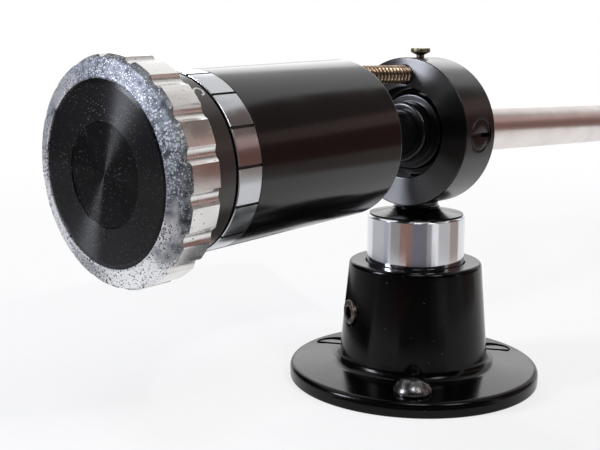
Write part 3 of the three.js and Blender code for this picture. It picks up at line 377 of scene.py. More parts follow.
def feed(shader, **sources):
    """Links outputs to the sockets of a shader, such as Base_Color."""
    for key, source in sources.items():
        shader.id_data.links.new(source, shader.inputs[key.replace("_", " ")])


def new_material(name, colour, roughness, metallic=0, **sockets):
    """A material with its Principled shader, and the piece's own coordinates in metres."""
    material = bpy.data.materials.new(name)
    material.use_nodes = True
    tree = material.node_tree
    shader = tree.nodes["Principled BSDF"]
    values = {"Base_Color": linear(colour), "Roughness": roughness, "Metallic": metallic, **sockets}
    for key, value in values.items():
        shader.inputs[key.replace("_", " ")].default_value = value
    return material, tree, shader, add_node(tree, "TexCoord", {}, "Object")


# %% [markdown]
# ## Small patterns
# Most finishes here need the same two things: clouds of a real size that vary a colour or a gloss,
# and a mask of small specks for dust and pits. Each has a function that puts a few nodes on a
# material's tree. All sizes are in millimetres.

# %% Clouds and specks
# A Mix node keeps its two colours in inputs 6 and 7, and the result in output 2.
COLOURS = {"output": 2, "data_type": "RGBA"}


def per_metre(millimetres):
    """The scale at which one cell of a pattern is this size."""
    return 1 / (millimetres * MM)


def clouds(tree, place, millimetres, detail=3, stops=()):
    """Lumps of a real size, as heights, or as the colours or values of two stops."""
    size = {"Vector": place, "Scale": per_metre(millimetres), "Detail": detail}
    lumps = add_node(tree, "TexNoise", size)
    return add_node(tree, "ValToRGB", {0: lumps}, stops=stops) if stops else lumps


def specks(tree, place, spacing, size, patches=7, clustering=1.0):
    """White where a speck is. Specks are size across in cells of a spacing, gathered in patches."""
    cells = add_node(tree, "TexVoronoi", {"Vector": place, "Scale": per_metre(spacing)})
    gather = add_node(
        tree, "MapRange",
        {"Value": clouds(tree, place, patches), "From Min": 0.5 - 0.15 * clustering, "From Max": 0.65,
         "To Min": 0.3 * size / spacing, "To Max": 0.75 * size / spacing},
    )
    inside = add_node(tree, "Math", {0: gather, 1: cells}, operation="SUBTRACT")
    return add_node(tree, "ValToRGB", {0: inside}, stops=[(0.0, 0.0), (0.06, 1.0)])


# %% [markdown]
# ## Gloss black enamel on a casting
# The base is cast, filled and sprayed with stoved enamel. That gives a deep black with a hard
# reflection, a trace of orange peel, and pale dust that shows as tiny specks. The peel is about
# 1.5 mm across and a few thousandths of a millimetre deep, so it bends reflections and no more.

# %% Gloss black enamel
def gloss_black_enamel():
    material, tree, shader, place = new_material(
        "gloss_black_enamel", "#030303", 0.14, Specular_IOR_Level=0.16,
    )
    dust = specks(tree, place, 1.6, 0.16)
    feed(shader, Base_Color=add_node(tree, "Mix", {0: dust, 6: "#030303", 7: "#6a6866"}, **COLOURS))
    feed(shader, Roughness=clouds(tree, place, 6, 5, [(0.35, 0.14), (0.7, 0.2)]))
    peel = clouds(tree, place, 1.5, 2)
    feed(shader, Normal=add_node(tree, "Bump", {"Height": peel, "Distance": 0.003 * MM, "Strength": 0.15}))
    return material


# %% [markdown]
# ## Semi-gloss black paint on turned aluminium
# The weight and the gimbal ring are turned and then painted. The paint is thin and shines like a
# hard lacquer, so it mirrors the room softly, and fine turning lines show through it where a lamp
# grazes it. The lines of 0.12 mm are too fine to show, so they are drawn at 0.4 mm.

# %% Semi-gloss black paint
def black_lacquer(name, colour, rough):
    material, tree, shader, place = new_material(name, colour, rough[1])
    stretched = add_node(tree, "Mapping", {"Vector": place, "Scale": (0.12, 0.12, 1.0)})
    dust = specks(tree, place, 1.3, 0.12)
    feed(shader, Base_Color=add_node(tree, "Mix", {0: dust, 6: colour, 7: "#757171"}, **COLOURS))
    feed(shader, Roughness=clouds(tree, place, 9, 4, [(0.3, rough[0]), (0.7, rough[1])]))
    lines = clouds(tree, stretched, 0.4)
    feed(shader, Normal=add_node(tree, "Bump", {"Height": lines, "Distance": 0.006 * MM, "Strength": 0.12}))
    return material


# %% [markdown]
# ## Chrome plate
# Chrome is a mirror with a faint blue-grey tint. Age gives it a light bloom and a few specks. The
# face of the knob has worse: salt has eaten through the plate in hundreds of pits of 0.1 to 0.5 mm,
# dark where they are fresh, with pale dust in them where they are old. Two layers of specks of
# different size make them. A slow noise gathers them into patches, and the upper right, where
# fingers turn the knob, is the worst. Salt bloom is a dull powder and no metal, so a third of the
# face's colour isn't metallic.

# %% Chrome plate
def chrome_plate(name, colour, rough, speck=0.1, grain=0.0):
    material, tree, shader, place = new_material(name, colour, rough[0], 1)
    spots = specks(tree, place, 0.9, speck)
    feed(shader, Base_Color=add_node(tree, "Mix", {0: spots, 6: colour, 7: "#4b4846"}, **COLOURS))
    feed(shader, Roughness=clouds(tree, place, 4, 6, [(0.4, rough[0]), (0.75, rough[1])]))
    if grain:
        worn = clouds(tree, place, 0.35, 2)
        feed(shader, Normal=add_node(tree, "Bump", {"Height": worn, "Distance": grain * MM, "Strength": 0.6}))
    return material


def pitted_chrome():
    material, tree, shader, place = new_material("pitted_chrome", "#c9ccd2", 0.2, 1)
    to_upper_right = add_node(tree, "VectorMath", {0: place, 1: (12, -9, 0)}, 1, operation="DOT_PRODUCT")
    patches = add_node(tree, "Math", {0: clouds(tree, place, 7), 1: to_upper_right})
    corroded = add_node(tree, "ValToRGB", {0: patches}, stops=[(0.48, 0.0), (0.6, 1.0)])
    small = specks(tree, place, 0.34, 0.2, 5, 1.2)
    large = specks(tree, place, 0.6, 0.3, 4, 1.0)
    pits = add_node(tree, "Math", {0: small, 1: large}, operation="MAXIMUM")
    dull = add_node(tree, "Math", {0: pits, 1: corroded}, operation="MAXIMUM")
    bloom = clouds(tree, place, 1.2, 4, [(0.35, "#3e4248"), (0.6, "#787c82")])
    old = add_node(tree, "Mix", {0: pits, 6: bloom, 7: "#aeb2b6"}, **COLOURS)
    sound = add_node(tree, "Mix", {0: pits, 6: "#e2e3e4", 7: "#4a4d52"}, **COLOURS)
    feed(shader, Base_Color=add_node(tree, "Mix", {0: corroded, 6: sound, 7: old}, **COLOURS))
    feed(shader, Roughness=add_node(tree, "ValToRGB", {0: dull}, stops=[(0.0, 0.28), (1.0, 0.5)]))
    feed(shader, Metallic=add_node(tree, "ValToRGB", {0: corroded}, stops=[(0.0, 0.68), (1.0, 0.64)]))
    feed(shader, Normal=add_node(tree, "Bump", {"Height": pits, "Distance": -0.03 * MM, "Strength": 0.5}))
    return material


# %% [markdown]
# ## Black anodised aluminium, faced on a lathe
# The disc in the knob and the faces of the gimbal ring were faced with a fine tool and then
# blackened. Their grooves run in circles, so a lamp shows as two opposite wedges of light that meet
# in the middle. Anisotropic gloss with a tangent that runs round the piece gives that. The black
# skin is no bare metal, so the gloss is that of a clear layer over black. Lint on it shows as small
# white specks. The grooves are about 0.05 mm apart and are drawn at 0.2 mm.

# %% Black anodised aluminium
def faced_black(name, colour, rough, lint, strength, gloss):
    material, tree, shader, place = new_material(
        name, colour, rough, Anisotropic=strength, Anisotropic_Rotation=0.25, IOR=1.6,
        Specular_IOR_Level=gloss,
    )
    length = add_node(tree, "VectorMath", {0: place}, 1, operation="LENGTH")
    grooves = add_node(
        tree, "TexNoise", {"W": length, "Scale": per_metre(0.2), "Detail": 3}, noise_dimensions="1D",
    )
    fluff = specks(tree, place, 0.38, lint, 6, 1.6)
    feed(shader, Base_Color=add_node(tree, "Mix", {0: fluff, 6: colour, 7: "#7c7c80"}, **COLOURS))
    feed(shader, Tangent=add_node(tree, "Tangent", {}, direction_type="RADIAL", axis="Z"))
    feed(shader, Normal=add_node(tree, "Bump", {"Height": grooves, "Distance": 0.003 * MM, "Strength": 0.2}))
    return material


# %% [markdown]
# ## Plain metals
# Steel screws keep faint lines, brass darkens where it is handled, and the arm tube is aluminium
# polished to an even shine, with only wide, faint clouds. One recipe serves them all: a colour that
# wanders a little, and a roughness that follows it.

# %% Plain metals
EVEN = (1, 1, 1)


def worked_metal(name, colour, dark, rough, grain=0.8, stretch=(1, 1, 0.2), relief=0.004):
    material, tree, shader, place = new_material(name, colour, rough[0], 1)
    drawn = add_node(tree, "Mapping", {"Vector": place, "Scale": stretch})
    feed(shader, Base_Color=clouds(tree, drawn, grain, 5, [(0.35, dark), (0.6, colour)]))
    feed(shader, Roughness=clouds(tree, drawn, grain, 5, [(0.3, rough[1]), (0.7, rough[0])]))
    lines = clouds(tree, drawn, grain, 5)
    feed(shader, Normal=add_node(tree, "Bump", {"Height": lines, "Distance": relief * MM, "Strength": 0.15}))
    return material


# %% [markdown]
# ## Brass with a thread
# The colour follows the distance from the rod's own axis. The grooves' floor is painted dark as shade,
# so that the fine thread reads, and the crests keep a pale brass with a little cloudiness on top.

# %% Threaded brass
def threaded_brass_with_painted_shade(groove_radius, crest_radius):
    material, tree, shader, place = new_material("brass_thread_with_painted_groove_shade", "#cdb59a", 0.24, 1)
    across = add_node(tree, "VectorMath", {0: place, 1: (1, 1, 0)}, operation="MULTIPLY")
    radius = add_node(tree, "VectorMath", {0: across}, 1, operation="LENGTH")
    # Nought at the grooves' floor, where shade is painted, and one at the crests.
    groove_shade_mask = add_node(
        tree, "MapRange",
        {"Value": radius, "From Min": groove_radius * MM, "From Max": crest_radius * MM},
    )
    cloudy = clouds(tree, place, 1.6, 4, [(0.35, "#a88e76"), (0.6, "#d9c3a8")])
    # The dark brown at the grooves' floor is painted shade.
    feed(shader, Base_Color=add_node(tree, "Mix", {0: groove_shade_mask, 6: "#3d2f24", 7: cloudy}, **COLOURS))
    feed(shader, Roughness=add_node(tree, "ValToRGB", {0: groove_shade_mask}, stops=[(0.0, 0.5), (1.0, 0.22)]))
    return material


# %% [markdown]
# ## Rubber, moulded plastic and paint in the digits
# None of these is a metal. Rubber scatters light from a powdery skin, moulded phenolic plastic has
# a fine grain from its mould, and the digits are engraved and rubbed full of white paint.

# %% Rubber, plastic and paint
def matt_skin(name, colour, light, rough, grain):
    material, tree, shader, place = new_material(name, colour, rough[1])
    feed(shader, Base_Color=clouds(tree, place, grain, 4, [(0.4, colour), (0.75, light)]))
    feed(shader, Roughness=clouds(tree, place, grain, 4, [(0.3, rough[0]), (0.7, rough[1])]))
    skin = clouds(tree, place, grain, 4)
    feed(shader, Normal=add_node(tree, "Bump", {"Height": skin, "Distance": 0.01 * MM, "Strength": 0.3}))
    return material


# %% All finishes
enamel = gloss_black_enamel()
black_paint = black_lacquer("semigloss_black_lacquer", "#0a0809", rough=(0.13, 0.2))
dial_paint = black_lacquer("worn_black_paint_on_dial", "#302a28", rough=(0.18, 0.26))
ring_paint = black_lacquer("black_paint_on_ring", "#0a0a0c", rough=(0.2, 0.3))
dull_black = black_lacquer("dull_black_in_the_bore", "#08080a", rough=(0.4, 0.55))
shell_black = black_lacquer("black_anodised_shell", "#101011", rough=(0.32, 0.46))
chrome = chrome_plate("chrome_plate", "#dcdee2", rough=(0.1, 0.17))
satin_chrome = chrome_plate("satin_chrome_plate", "#c2c4c8", rough=(0.16, 0.26))
rubbed_chrome = chrome_plate("rubbed_chrome_on_knob", "#eae8e6", rough=(0.22, 0.36), speck=0.2, grain=0.008)
pitted = pitted_chrome()
disc_outer = faced_black("black_anodised_outer_face", "#030304", 0.34, lint=0.1, strength=0.96, gloss=0.28)
disc_inner = faced_black("black_anodised_inner_face", "#020203", 0.3, lint=0.09, strength=1.0, gloss=0.13)
ring_face = faced_black("faced_black_on_ring", "#060607", 0.3, lint=0.04, strength=1.0, gloss=1.0)
steel = worked_metal("turned_steel", "#a5a6a8", "#6f6f70", rough=(0.22, 0.38))
dull_steel = worked_metal(
    "dull_plated_steel", "#7d7c7c", "#545354", rough=(0.2, 0.32), grain=1.4, stretch=EVEN,
)
brown_steel = worked_metal(
    "brown_tarnished_steel", "#6a615b", "#3b3531", rough=(0.32, 0.45), grain=1.0, stretch=EVEN,
)
olive_brass = worked_metal("olive_tarnished_brass", "#a0977a", "#6a6350", rough=(0.3, 0.45), grain=0.9)
thread_brass_with_painted_shade = threaded_brass_with_painted_shade(groove_radius=1.5, crest_radius=1.78)
brass = worked_metal(
    "warm_brass", "#c8b49c", "#98806a", rough=(0.16, 0.26), grain=2.2, stretch=(1, 1, 0.6),
)
bright_tube = worked_metal(
    "polished_aluminium_tube", "#e6dfdc", "#ded5d1", rough=(0.28, 0.33), grain=6, stretch=EVEN,
    relief=0.0005,
)
gold_pins = worked_metal("plated_brass_pins", "#c8a860", "#8d7139", rough=(0.2, 0.35))
rubber = matt_skin("black_rubber", "#101010", "#1c1c1c", rough=(0.6, 0.8), grain=0.4)
phenolic = matt_skin("black_phenolic", "#141312", "#211f1d", rough=(0.35, 0.5), grain=0.6)
line_paint = matt_skin("black_line_paint", "#0b0b0b", "#161616", rough=(0.4, 0.55), grain=0.5)
digit_paint = matt_skin("white_digit_paint", "#c9c6bf", "#e6e4de", rough=(0.45, 0.6), grain=0.3)
print("materials:", len(bpy.data.materials))

# %% [markdown]
# ## The base
# A flange and a tapering neck, cast in one and turned where it shows. The fillet between them is
# small, and the flange's top falls away to a soft rim that catches a thin line of light. Its screw
# seats and the hole of its height screw are cut.

# %% Base casting
flange_radius = reach(upright, "base_casting")
base_height = along(upright, "base_casting")[1]
RIM_HEIGHT = 3.1
DECK_HEIGHT = 3.8
FOOT_RADIUS = 15.55
CROWN_RADIUS = 13.6
BASE_BORE = 10.15
SCREW_CIRCLE = 20.2
SCREW_ANGLES = (215.5, 335.5, 95.5)
SCREW_DROPS = (0, 0.4, 0.4)
SCREW_DECK = 3.42
SHANK_RADIUS = 1.8
HEAD_RADIUS = 3.7
HEAD_CONE = 1.9
SEAT_GAP = 0.12
SEAT_FLOOR = 2.2
ABOVE_ALL = 9

seats = []
screw_places = []
seat_radius = HEAD_RADIUS + SEAT_GAP
for angle, drop in zip(SCREW_ANGLES, SCREW_DROPS):
    low = SCREW_DECK - drop
    floor = low - HEAD_CONE - 0.02
    seat_outline = [(0, floor), (SEAT_FLOOR, floor), (seat_radius, low)]
    seat_outline += [(seat_radius, ABOVE_ALL), (0, ABOVE_ALL)]
    seat = turned("seat", seat_outline, 48)
    away = radians(angle)
    screw_places.append(shift(SCREW_CIRCLE * cos(away), SCREW_CIRCLE * sin(away), 0))
    seats.append(cutter(seat, screw_places[-1]))
lock_joint = joints["height_screw_turn"]
lock_frame = placement(Vector((0, 0, lock_joint["pos_m"][2])), lock_joint["axis"])
lock_hole = turned("lock_hole", [(0, 9), (2.75, 9), (2.75, 14.15), (3.0, 14.45), (3.0, 20), (0, 20)], 48)
seats.append(cutter(lock_hole, lock_frame))

taper = (CROWN_RADIUS - FOOT_RADIUS) / (base_height - RIM_HEIGHT)
base_outline = [
    (BASE_BORE, 0),
    (flange_radius, 0, 0.5),
    (flange_radius, RIM_HEIGHT, 1.25),
    (FOOT_RADIUS + taper * (DECK_HEIGHT - RIM_HEIGHT), DECK_HEIGHT, 2.2),
    (CROWN_RADIUS, base_height, 0.95),
    (BASE_BORE, base_height, 0.5),
]
lathe("base", base_outline, 192, upright, "base", enamel, "base_casting",
      pieces=6, cuts=seats, bevel=0)

# %% [markdown]
# ## Screws in the base
# Three slotted screws hold the flange, and each stopped at its own angle. The front one has a
# raised head. The other two are flat heads, sunk a little below the deck and painted with it. A
# socket screw in the neck locks the pillar. A slot is one saw cut, so it is made as one.

# %% Flange screws
SLOT_ANGLES = (84, 143, 22)
SLOT_SIZE = (9, 1.1, 3)
SCREW_TIP = -12.6
POINT_LENGTH = 3
DOME_HEIGHT = 2.5
head_rim = SCREW_DECK + 0.5
dome_radius = (HEAD_RADIUS ** 2 + DOME_HEIGHT ** 2) / (2 * DOME_HEIGHT)
dome_centre = (0, head_rim + DOME_HEIGHT - dome_radius)
dome_start = degrees(atan2(dome_radius - DOME_HEIGHT, HEAD_RADIUS))
dome = arc_points(dome_centre, dome_radius, dome_start, 90, 10)
for i, drop in enumerate(SCREW_DROPS):
    low = SCREW_DECK - drop
    top = low if drop else head_rim + DOME_HEIGHT
    outline = [(0, SCREW_TIP), (SHANK_RADIUS, SCREW_TIP + POINT_LENGTH)]
    outline += [(SHANK_RADIUS, low - HEAD_CONE), (HEAD_RADIUS, low)]
    outline += [] if drop else dome[:-1]
    screw = turned("flange_screw", outline + [(0, top)], 64)
    screw = carve(screw, [saw(SLOT_SIZE, (0, 0, top + 0.3))], 0.08)
    place = screw_places[i] @ turn_about(SCREW_ANGLES[i] + SLOT_ANGLES[i])
    name = f"flange_screw_{i + 1}"
    add_piece(name + "_shown", screw, place, "base", enamel if drop else dull_steel, name)

# %% Height screw
low, high = along(lock_frame, "height_lock_screw")
KEY_RADIUS = 1.44
lathe("height_screw", [(0, low), (1.6, low), (2.6, low + 1.2), (2.6, high, 0.4), (0, high)], 64,
      lock_frame, "height_screw", brown_steel, "height_lock_screw", edge=0.1,
      cuts=[drill(KEY_RADIUS, high - 2.4, high + 1, steps=6)])

# %% [markdown]
# ## The pillar
# A chromed tube that slides in the base. Its upper edge has a fine bright chamfer, and a black cap
# closes it, whose bell-shaped top stops just short of the ring. In its lower end sits the socket for
# the signal cable.

# %% Pillar and cap
PILLAR_BORE = 7.5
CHAMFER = 0.35
wide = reach(upright, "pillar_tube")
low, pillar_top = along(upright, "pillar_tube")
lathe("pillar", [
    (PILLAR_BORE, low), (wide, low, 0.4), (wide, pillar_top - CHAMFER, 0.15),
    (wide - CHAMFER, pillar_top, 0.15), (PILLAR_BORE, pillar_top),
], 192, upright, "pillar", chrome, "pillar_tube")

CAP_BORE = 3.05
PLUG_RADIUS = 7.4
NECK_RADIUS = 4.7
wide = reach(upright, "pillar_cap")
low, high = along(upright, "pillar_cap")
cap_edge = pillar_top + 0.05
lathe("cap", [
    (CAP_BORE, low), (PLUG_RADIUS, low), (PLUG_RADIUS, cap_edge), (wide, cap_edge),
    (wide, cap_edge + 0.3, 0.2), (7.2, cap_edge + 0.65, 1.5), (5.5, high - 0.75, 0.9),
    (NECK_RADIUS, high - 0.3, 0.4), (NECK_RADIUS, high, 0.1), (CAP_BORE, high),
], 128, upright, "pillar", enamel, "pillar_cap", pieces=4)

# %% [markdown]
# ## Pieces that keep their CAD mesh
# The bearings, the spindle, the lead screw and the sliding weight lie inside other pieces, and the
# socket's pins are small. Their CAD meshes are fine enough to stay, and only get their finish.

# %% Pieces that stay
def keep_mesh(material, *names):
    for name in names:
        nodes[name].data.materials.clear()
        nodes[name].data.materials.append(material)
        shade(nodes[name].data, 35)
    print("kept:", *names)


keep_mesh(phenolic, "output_socket", "spring_contacts", "lead_terminals", "friction_sleeve")
keep_mesh(gold_pins, *[f"output_pin_{i}" for i in range(1, 6)])
for bearing in ("upper", "lower"):
    keep_mesh(steel, *[f"{bearing}_bearing_{part}" for part in ("outer_ring", "inner_ring", "balls")])
keep_mesh(steel, "housing_spindle", "rear_shaft", "lead_screw")
keep_mesh(steel, "left_pivot_cup", "right_pivot_cup", "locating_pin")
keep_mesh(brass, "sliding_weight")

# %% [markdown]
# ## The gimbal ring
# The ring turns on the pillar, and the arm tips inside it on two pointed screws. It is a thick
# black ring with a boss below. Its flat faces are faced and have a finish of their own, apart from
# the painted, rounded rim. The screws' holes and the rod's hole are real cuts.

# %% Gimbal ring
RING_RADIUS = 14.75
RING_BORE = 9.0
ROD_HEIGHT = 11.45
ROD_RADIUS = 1.85
HOLE_GAP = 0.12
ring_half = along(ring_frame, "bearing_housing")[1]
ring_outline = soften([
    (RING_BORE, -ring_half, 0.3), (RING_RADIUS, -ring_half, 0.28),
    (RING_RADIUS, ring_half, 0.28), (RING_BORE, ring_half, 0.3),
], pieces=4)


def ring_finish(radius, height):
    """The faces are faced, the bore is dull, and the outside is painted."""
    if abs(height) > ring_half - 0.02:
        return 1
    return 2 if radius < RING_BORE + 0.02 else 0


ring_finishes = [ring_paint, ring_face, dull_black]
ring_mesh = turned("gimbal_ring", ring_outline, 240, materials=ring_finishes, pick=ring_finish)
pivot_hole = [(0, 6), (3.04, 6), (3.04, 13.75), (3.64, 13.75), (3.64, 18), (0, 18)]
ring_local = ring_frame.inverted()
ring_tools = [
    drill(ROD_RADIUS + HOLE_GAP, -20, 20, shift(ROD_HEIGHT, 0, 0)),
    drill(0.93, ROD_HEIGHT, 20, ring_local @ top_frame, 32),
    drill(1.5, -20, -5, ring_local @ top_frame, 32),
    cutter(turned("left_hole", pivot_hole, 64), ring_local @ left_frame),
    cutter(turned("right_hole", pivot_hole, 64), ring_local @ right_frame),
]
ring_mesh = carve(ring_mesh, ring_tools, edge=0)
add_piece("gimbal_ring", ring_mesh, ring_frame, "housing", node="bearing_housing")

SPINDLE_HOLE = 2.96
BOSS_RADIUS = 4.4
boss_low = (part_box("bearing_housing")[0].z - pivot.z) / MM
boss_high = -RING_RADIUS + 0.55
lathe("ring_boss", [
    (SPINDLE_HOLE, boss_low), (BOSS_RADIUS, boss_low, 0.2),
    (BOSS_RADIUS, boss_high), (SPINDLE_HOLE, boss_high),
], 96, top_frame, "housing", ring_paint, edge=0)

# %% [markdown]
# ## Pivot screws, guide rod and clamp screw
# Each pivot screw is locked by a thin ring in a shallow recess, which shows as two fine circles
# round a slotted head. The guide rod carries a real thread: a helix whose surface climbs one pitch
# in a turn. The thread's pitch of 0.7 mm is too fine to show, so it is drawn at 1.1 mm.

# %% Pivot screws and lock rings
for side_name, side_frame in (("left", left_frame), ("right", right_frame)):
    name = f"{side_name}_pivot_screw"
    top = along(side_frame, name)[1]
    lathe(name + "_shown", [
        (0, 6.0), (0.12, 6.0), (0.9, 7.2), (0.9, 8.7), (3.0, 8.7), (3.0, top, 0.2), (0, top),
    ], 72, side_frame, "housing", ring_paint, name,
          cuts=[saw((7, 0.85, 2.2), (0, 0, top + 0.2), 90)], bevel=0.05)
    name = f"{side_name}_lock_ring"
    lathe(name + "_shown", [(3.08, 13.8), (3.61, 13.8), (3.61, 14.6), (3.08, 14.6)], 96,
          side_frame, "housing", ring_paint, name, edge=0.08,
          cuts=[saw((0.8, 9, 1), (0, 0, 14.75))], bevel=0.03)

# %% Guide rod and clamp screw
THREAD_PITCH = 1.1
THREAD_DEPTH = 0.45
ROWS_PER_TURN = 10
rod_frame = placement(pivot + Vector((0, 0, ROD_HEIGHT)) * MM, (-1, 0, 0))
rod_low, rod_high = along(rod_frame, "threaded_guide_rod")
thread_start = ring_half - 1
thread_length = rod_high - 0.15 - thread_start
print("thread from", round(thread_start, 2), "mm behind the pivot, length", round(thread_length, 2))


def thread(radius, height, angle):
    """Sinks a point of the rod into the groove, which climbs one pitch in a turn."""
    if height < thread_start or radius < ROD_RADIUS - 0.01:
        return radius
    share = (height / THREAD_PITCH - angle / (2 * pi)) % 1
    return radius - THREAD_DEPTH * abs(2 * share - 1) ** 0.8


rows = int(thread_length / THREAD_PITCH * ROWS_PER_TURN)
rod_outline = [(0, rod_low), (ROD_RADIUS - 0.15, rod_low), (ROD_RADIUS, rod_low + 0.15)]
rod_outline += [(ROD_RADIUS, thread_start + thread_length * k / rows) for k in range(rows + 1)]
rod_outline += [(ROD_RADIUS - 0.3, rod_high), (0, rod_high)]
rod_mesh = turned("guide_rod", rod_outline, 48, shape=thread, sharp=70)
add_piece("guide_rod", rod_mesh, rod_frame, "guide_rod", thread_brass_with_painted_shade, "threaded_guide_rod")

low, high = along(top_frame, "rod_clamp_screw")
lathe("clamp_screw", [
    (0, low), (0.78, low), (0.78, high - 1.3), (1.93, high - 0.75, 0.1), (1.93, high, 0.15), (0, high),
], 64, top_frame, "clamp_screw", olive_brass, "rod_clamp_screw",
      cuts=[saw((5, 0.5, 0.9), (0, 0, high + 0.05), 25)], bevel=0.04)

# %% [markdown]
# ## The arm behind the ring
# Inside the ring is the block that holds the pivots' cups. A sleeve leads back from it to a rubber
# bush, which keeps the weight's mass from ringing in the tube. These pieces are black and hardly
# lit, so their rounded edges are all that tells them apart.

# %% Pivot block, sleeve and bush
arm_local = arm_frame.inverted()
block_outline = [
    (4.46, -6.6), (6.0, -6.6, 1.4), (6.0, -3.4, 0.2), (7.6, -3.4, 0.5), (7.6, -1.0, 0),
    (8.75, -1.0, 0.15), (8.75, 1.0, 0.15), (7.6, 1.0, 0), (7.6, 4.4, 0.5),
    (6.3, 4.4, 0.2), (6.3, 7.6, 0.4), (5.09, 7.6), (5.09, 2.4), (4.46, 2.4),
]
cup_holes = [drill(1.76, 5.4, 9, arm_local @ side_frame) for side_frame in (left_frame, right_frame)]
lathe("arm_pivot_block", block_outline, 128, arm_frame, "arm", ring_paint, "pivot_block",
      pieces=5, cuts=cup_holes, bevel=0)

low, high = along(arm_frame, "rear_sleeve")
lathe("sleeve", [(0, low), (4.4, low, 0.4), (4.4, high), (0, high)], 96,
      arm_frame, "arm", ring_paint, "rear_sleeve")
low, high = along(arm_frame, "damping_bush")
lathe("rubber_bush", [(0, low), (4.9, low, 0.6), (4.9, high, 0.6), (0, high)], 96,
      arm_frame, "arm", rubber, "damping_bush", pieces=5)

# %% [markdown]
# ## The S-shaped tube
# The bends turn the headshell towards the record, so that the stylus stays close to the groove's
# tangent. The tube is one round section carried along straights and arcs, which is just how a
# bending former makes it.

# %% Arm tube
TUBE_START = 2.45
TUBE_RADIUS = 5.03
TUBE_WALL = 0.8
STRAIGHTS = (92, 13, 12)
BENDS = ((50, 30), (45, -30 - degrees(offset_angle)))
line = [(Vector((TUBE_START, 0)), 0.0)]


def go_on(length, turn, pieces):
    """Carries the line on: straight for a length, or round an arc of that radius by a turn."""
    step = radians(turn) / pieces
    for _ in range(pieces):
        place, heading = line[-1]
        middle = heading + step / 2
        stride = 2 * length * sin(abs(step) / 2) if turn else length / pieces
        line.append((place + Vector((cos(middle), sin(middle))) * stride, heading + step))


go_on(STRAIGHTS[0], 0, 12)
go_on(*BENDS[0], 24)
go_on(STRAIGHTS[1], 0, 3)
go_on(*BENDS[1], 24)
go_on(STRAIGHTS[2], 0, 3)
tube_end, heading = line[-1]
print("tube ends at", [round(v, 2) for v in tube_end], "mm, heading", round(degrees(heading), 2))


def swept_tube(name, stations, radius, bore, steps=64):
    """A tube along stations, as an outer and an inner skin that are joined at both ends."""
    verts, faces = [], []
    for r in (radius, bore):
        for point, direction in stations:
            across = Vector((-sin(direction), cos(direction)))
            for i in range(steps):
                angle = 2 * pi * i / steps
                sideways = point + across * r * cos(angle)
                verts.append((sideways.x, sideways.y, r * sin(angle)))
    rows = len(stations)
    skins = [(k, k + 1) for k in range(rows - 1)] + [(rows + k, rows + k + 1) for k in range(rows - 1)]
    for near, far in skins + [(0, rows), (rows - 1, 2 * rows - 1)]:
        for i in range(steps):
            j = (i + 1) % steps
            faces.append([near * steps + i, near * steps + j, far * steps + j, far * steps + i])
    return finish_mesh(build(name, verts, faces))


level_arm = top_frame @ turn_about(degrees(atan2(-arm_axis.z, arm_axis.x)), "Y")
tube_mesh = swept_tube("arm_tube", line, TUBE_RADIUS, TUBE_RADIUS - TUBE_WALL)
add_piece("s_tube", tube_mesh, level_arm, "arm", bright_tube, "arm_tube")

# %% [markdown]
# ## The headshell's socket
# The tube ends in a chromed collet. A knurled ring on it draws the headshell's pin back along a
# slot until the two faces meet on a rubber washer. The knurl is cut straight, with ribs 1.2 mm
# apart, so that it grips a fingertip.

# %% Socket and locking ring
shell_origin = level_arm @ (tube_end.to_3d() * MM)
shell_forward = placement(shell_origin, shell_axis)
face_height = along(shell_forward, "headshell_socket")[1]
shell_frame = placement(shell_origin + shell_axis.normalized() * face_height * MM, shell_axis)
low = along(shell_frame, "headshell_socket")[0]
lathe("shell_socket", [
    (5.09, low), (6.0, low, 0.4), (6.0, 0, 0.15), (4.15, 0, 0.2), (4.15, -13.2),
    (2.7, -13.2), (2.7, low + 8.05), (5.09, low + 8.05),
], 128, shell_frame, "arm", chrome, "headshell_socket",
      cuts=[saw((6, 2.4, 6.1), (5, 0, -1.55))], bevel=0.05)

LOCK_RADIUS = 7.1
LOCK_FRONT = -0.3
LOCK_BACK = LOCK_FRONT - 8.5
LOCK_RIBS = 36
RIB_DEPTH = 0.32
PLAIN_EDGE = 1.1
knurl_low, knurl_high = LOCK_BACK + PLAIN_EDGE, LOCK_FRONT - PLAIN_EDGE


def knurl(radius, height, angle):
    if radius < LOCK_RADIUS - 0.3 or not knurl_low < height < knurl_high:
        return radius
    return radius - RIB_DEPTH * max(0.0, sin(LOCK_RIBS * angle)) ** 0.7


knurl_heights = (
    knurl_low - 0.03, knurl_low + 0.03, (knurl_low + knurl_high) / 2, knurl_high - 0.03, knurl_high + 0.03,
)
lock_edge = ((6.15, 0), (6.6, 0), (6.9, 0.1), (7.05, 0.3))
lock_outline = [(radius, LOCK_BACK + inset) for radius, inset in lock_edge]
lock_outline += [(LOCK_RADIUS, height) for height in knurl_heights]
lock_outline += [(radius, LOCK_FRONT - inset) for radius, inset in reversed(lock_edge)]
add_piece("locking_ring", turned("locking_ring", lock_outline, LOCK_RIBS * 12, shape=knurl),
          shell_frame, "locking_ring", chrome, "headshell_locking_ring")

# %% [markdown]
# ## The headshell
# A pressed plate on a round neck. Two slots 12.7 mm apart take the cartridge's screws, and a
# curled strip lifts the arm with a finger. The plate's edges are broken by the press and then
# softened by the anodising.

# %% Plug, pin and washer
low, high = along(shell_frame, "headshell_plug")
lathe("shell_plug", [(0, low), (4.0, low, 0.3), (4.0, high, 0.3), (0, high)], 96,
      shell_frame, "headshell", chrome, "headshell_plug",
      cuts=[drill(1.06, 2.8, 6, shift(0, 0, -2.6) @ turn_about(90, "Y"), 32)], bevel=0)
low, high = along(shell_frame, "headshell_gasket")
lathe("washer", [(4.06, low), (6.0, low), (6.0, high), (4.06, high)], 96,
      shell_frame, "headshell", rubber, "headshell_gasket", edge=0.15)
print("headshell face at", [round(v / MM, 3) for v in shell_frame.translation])

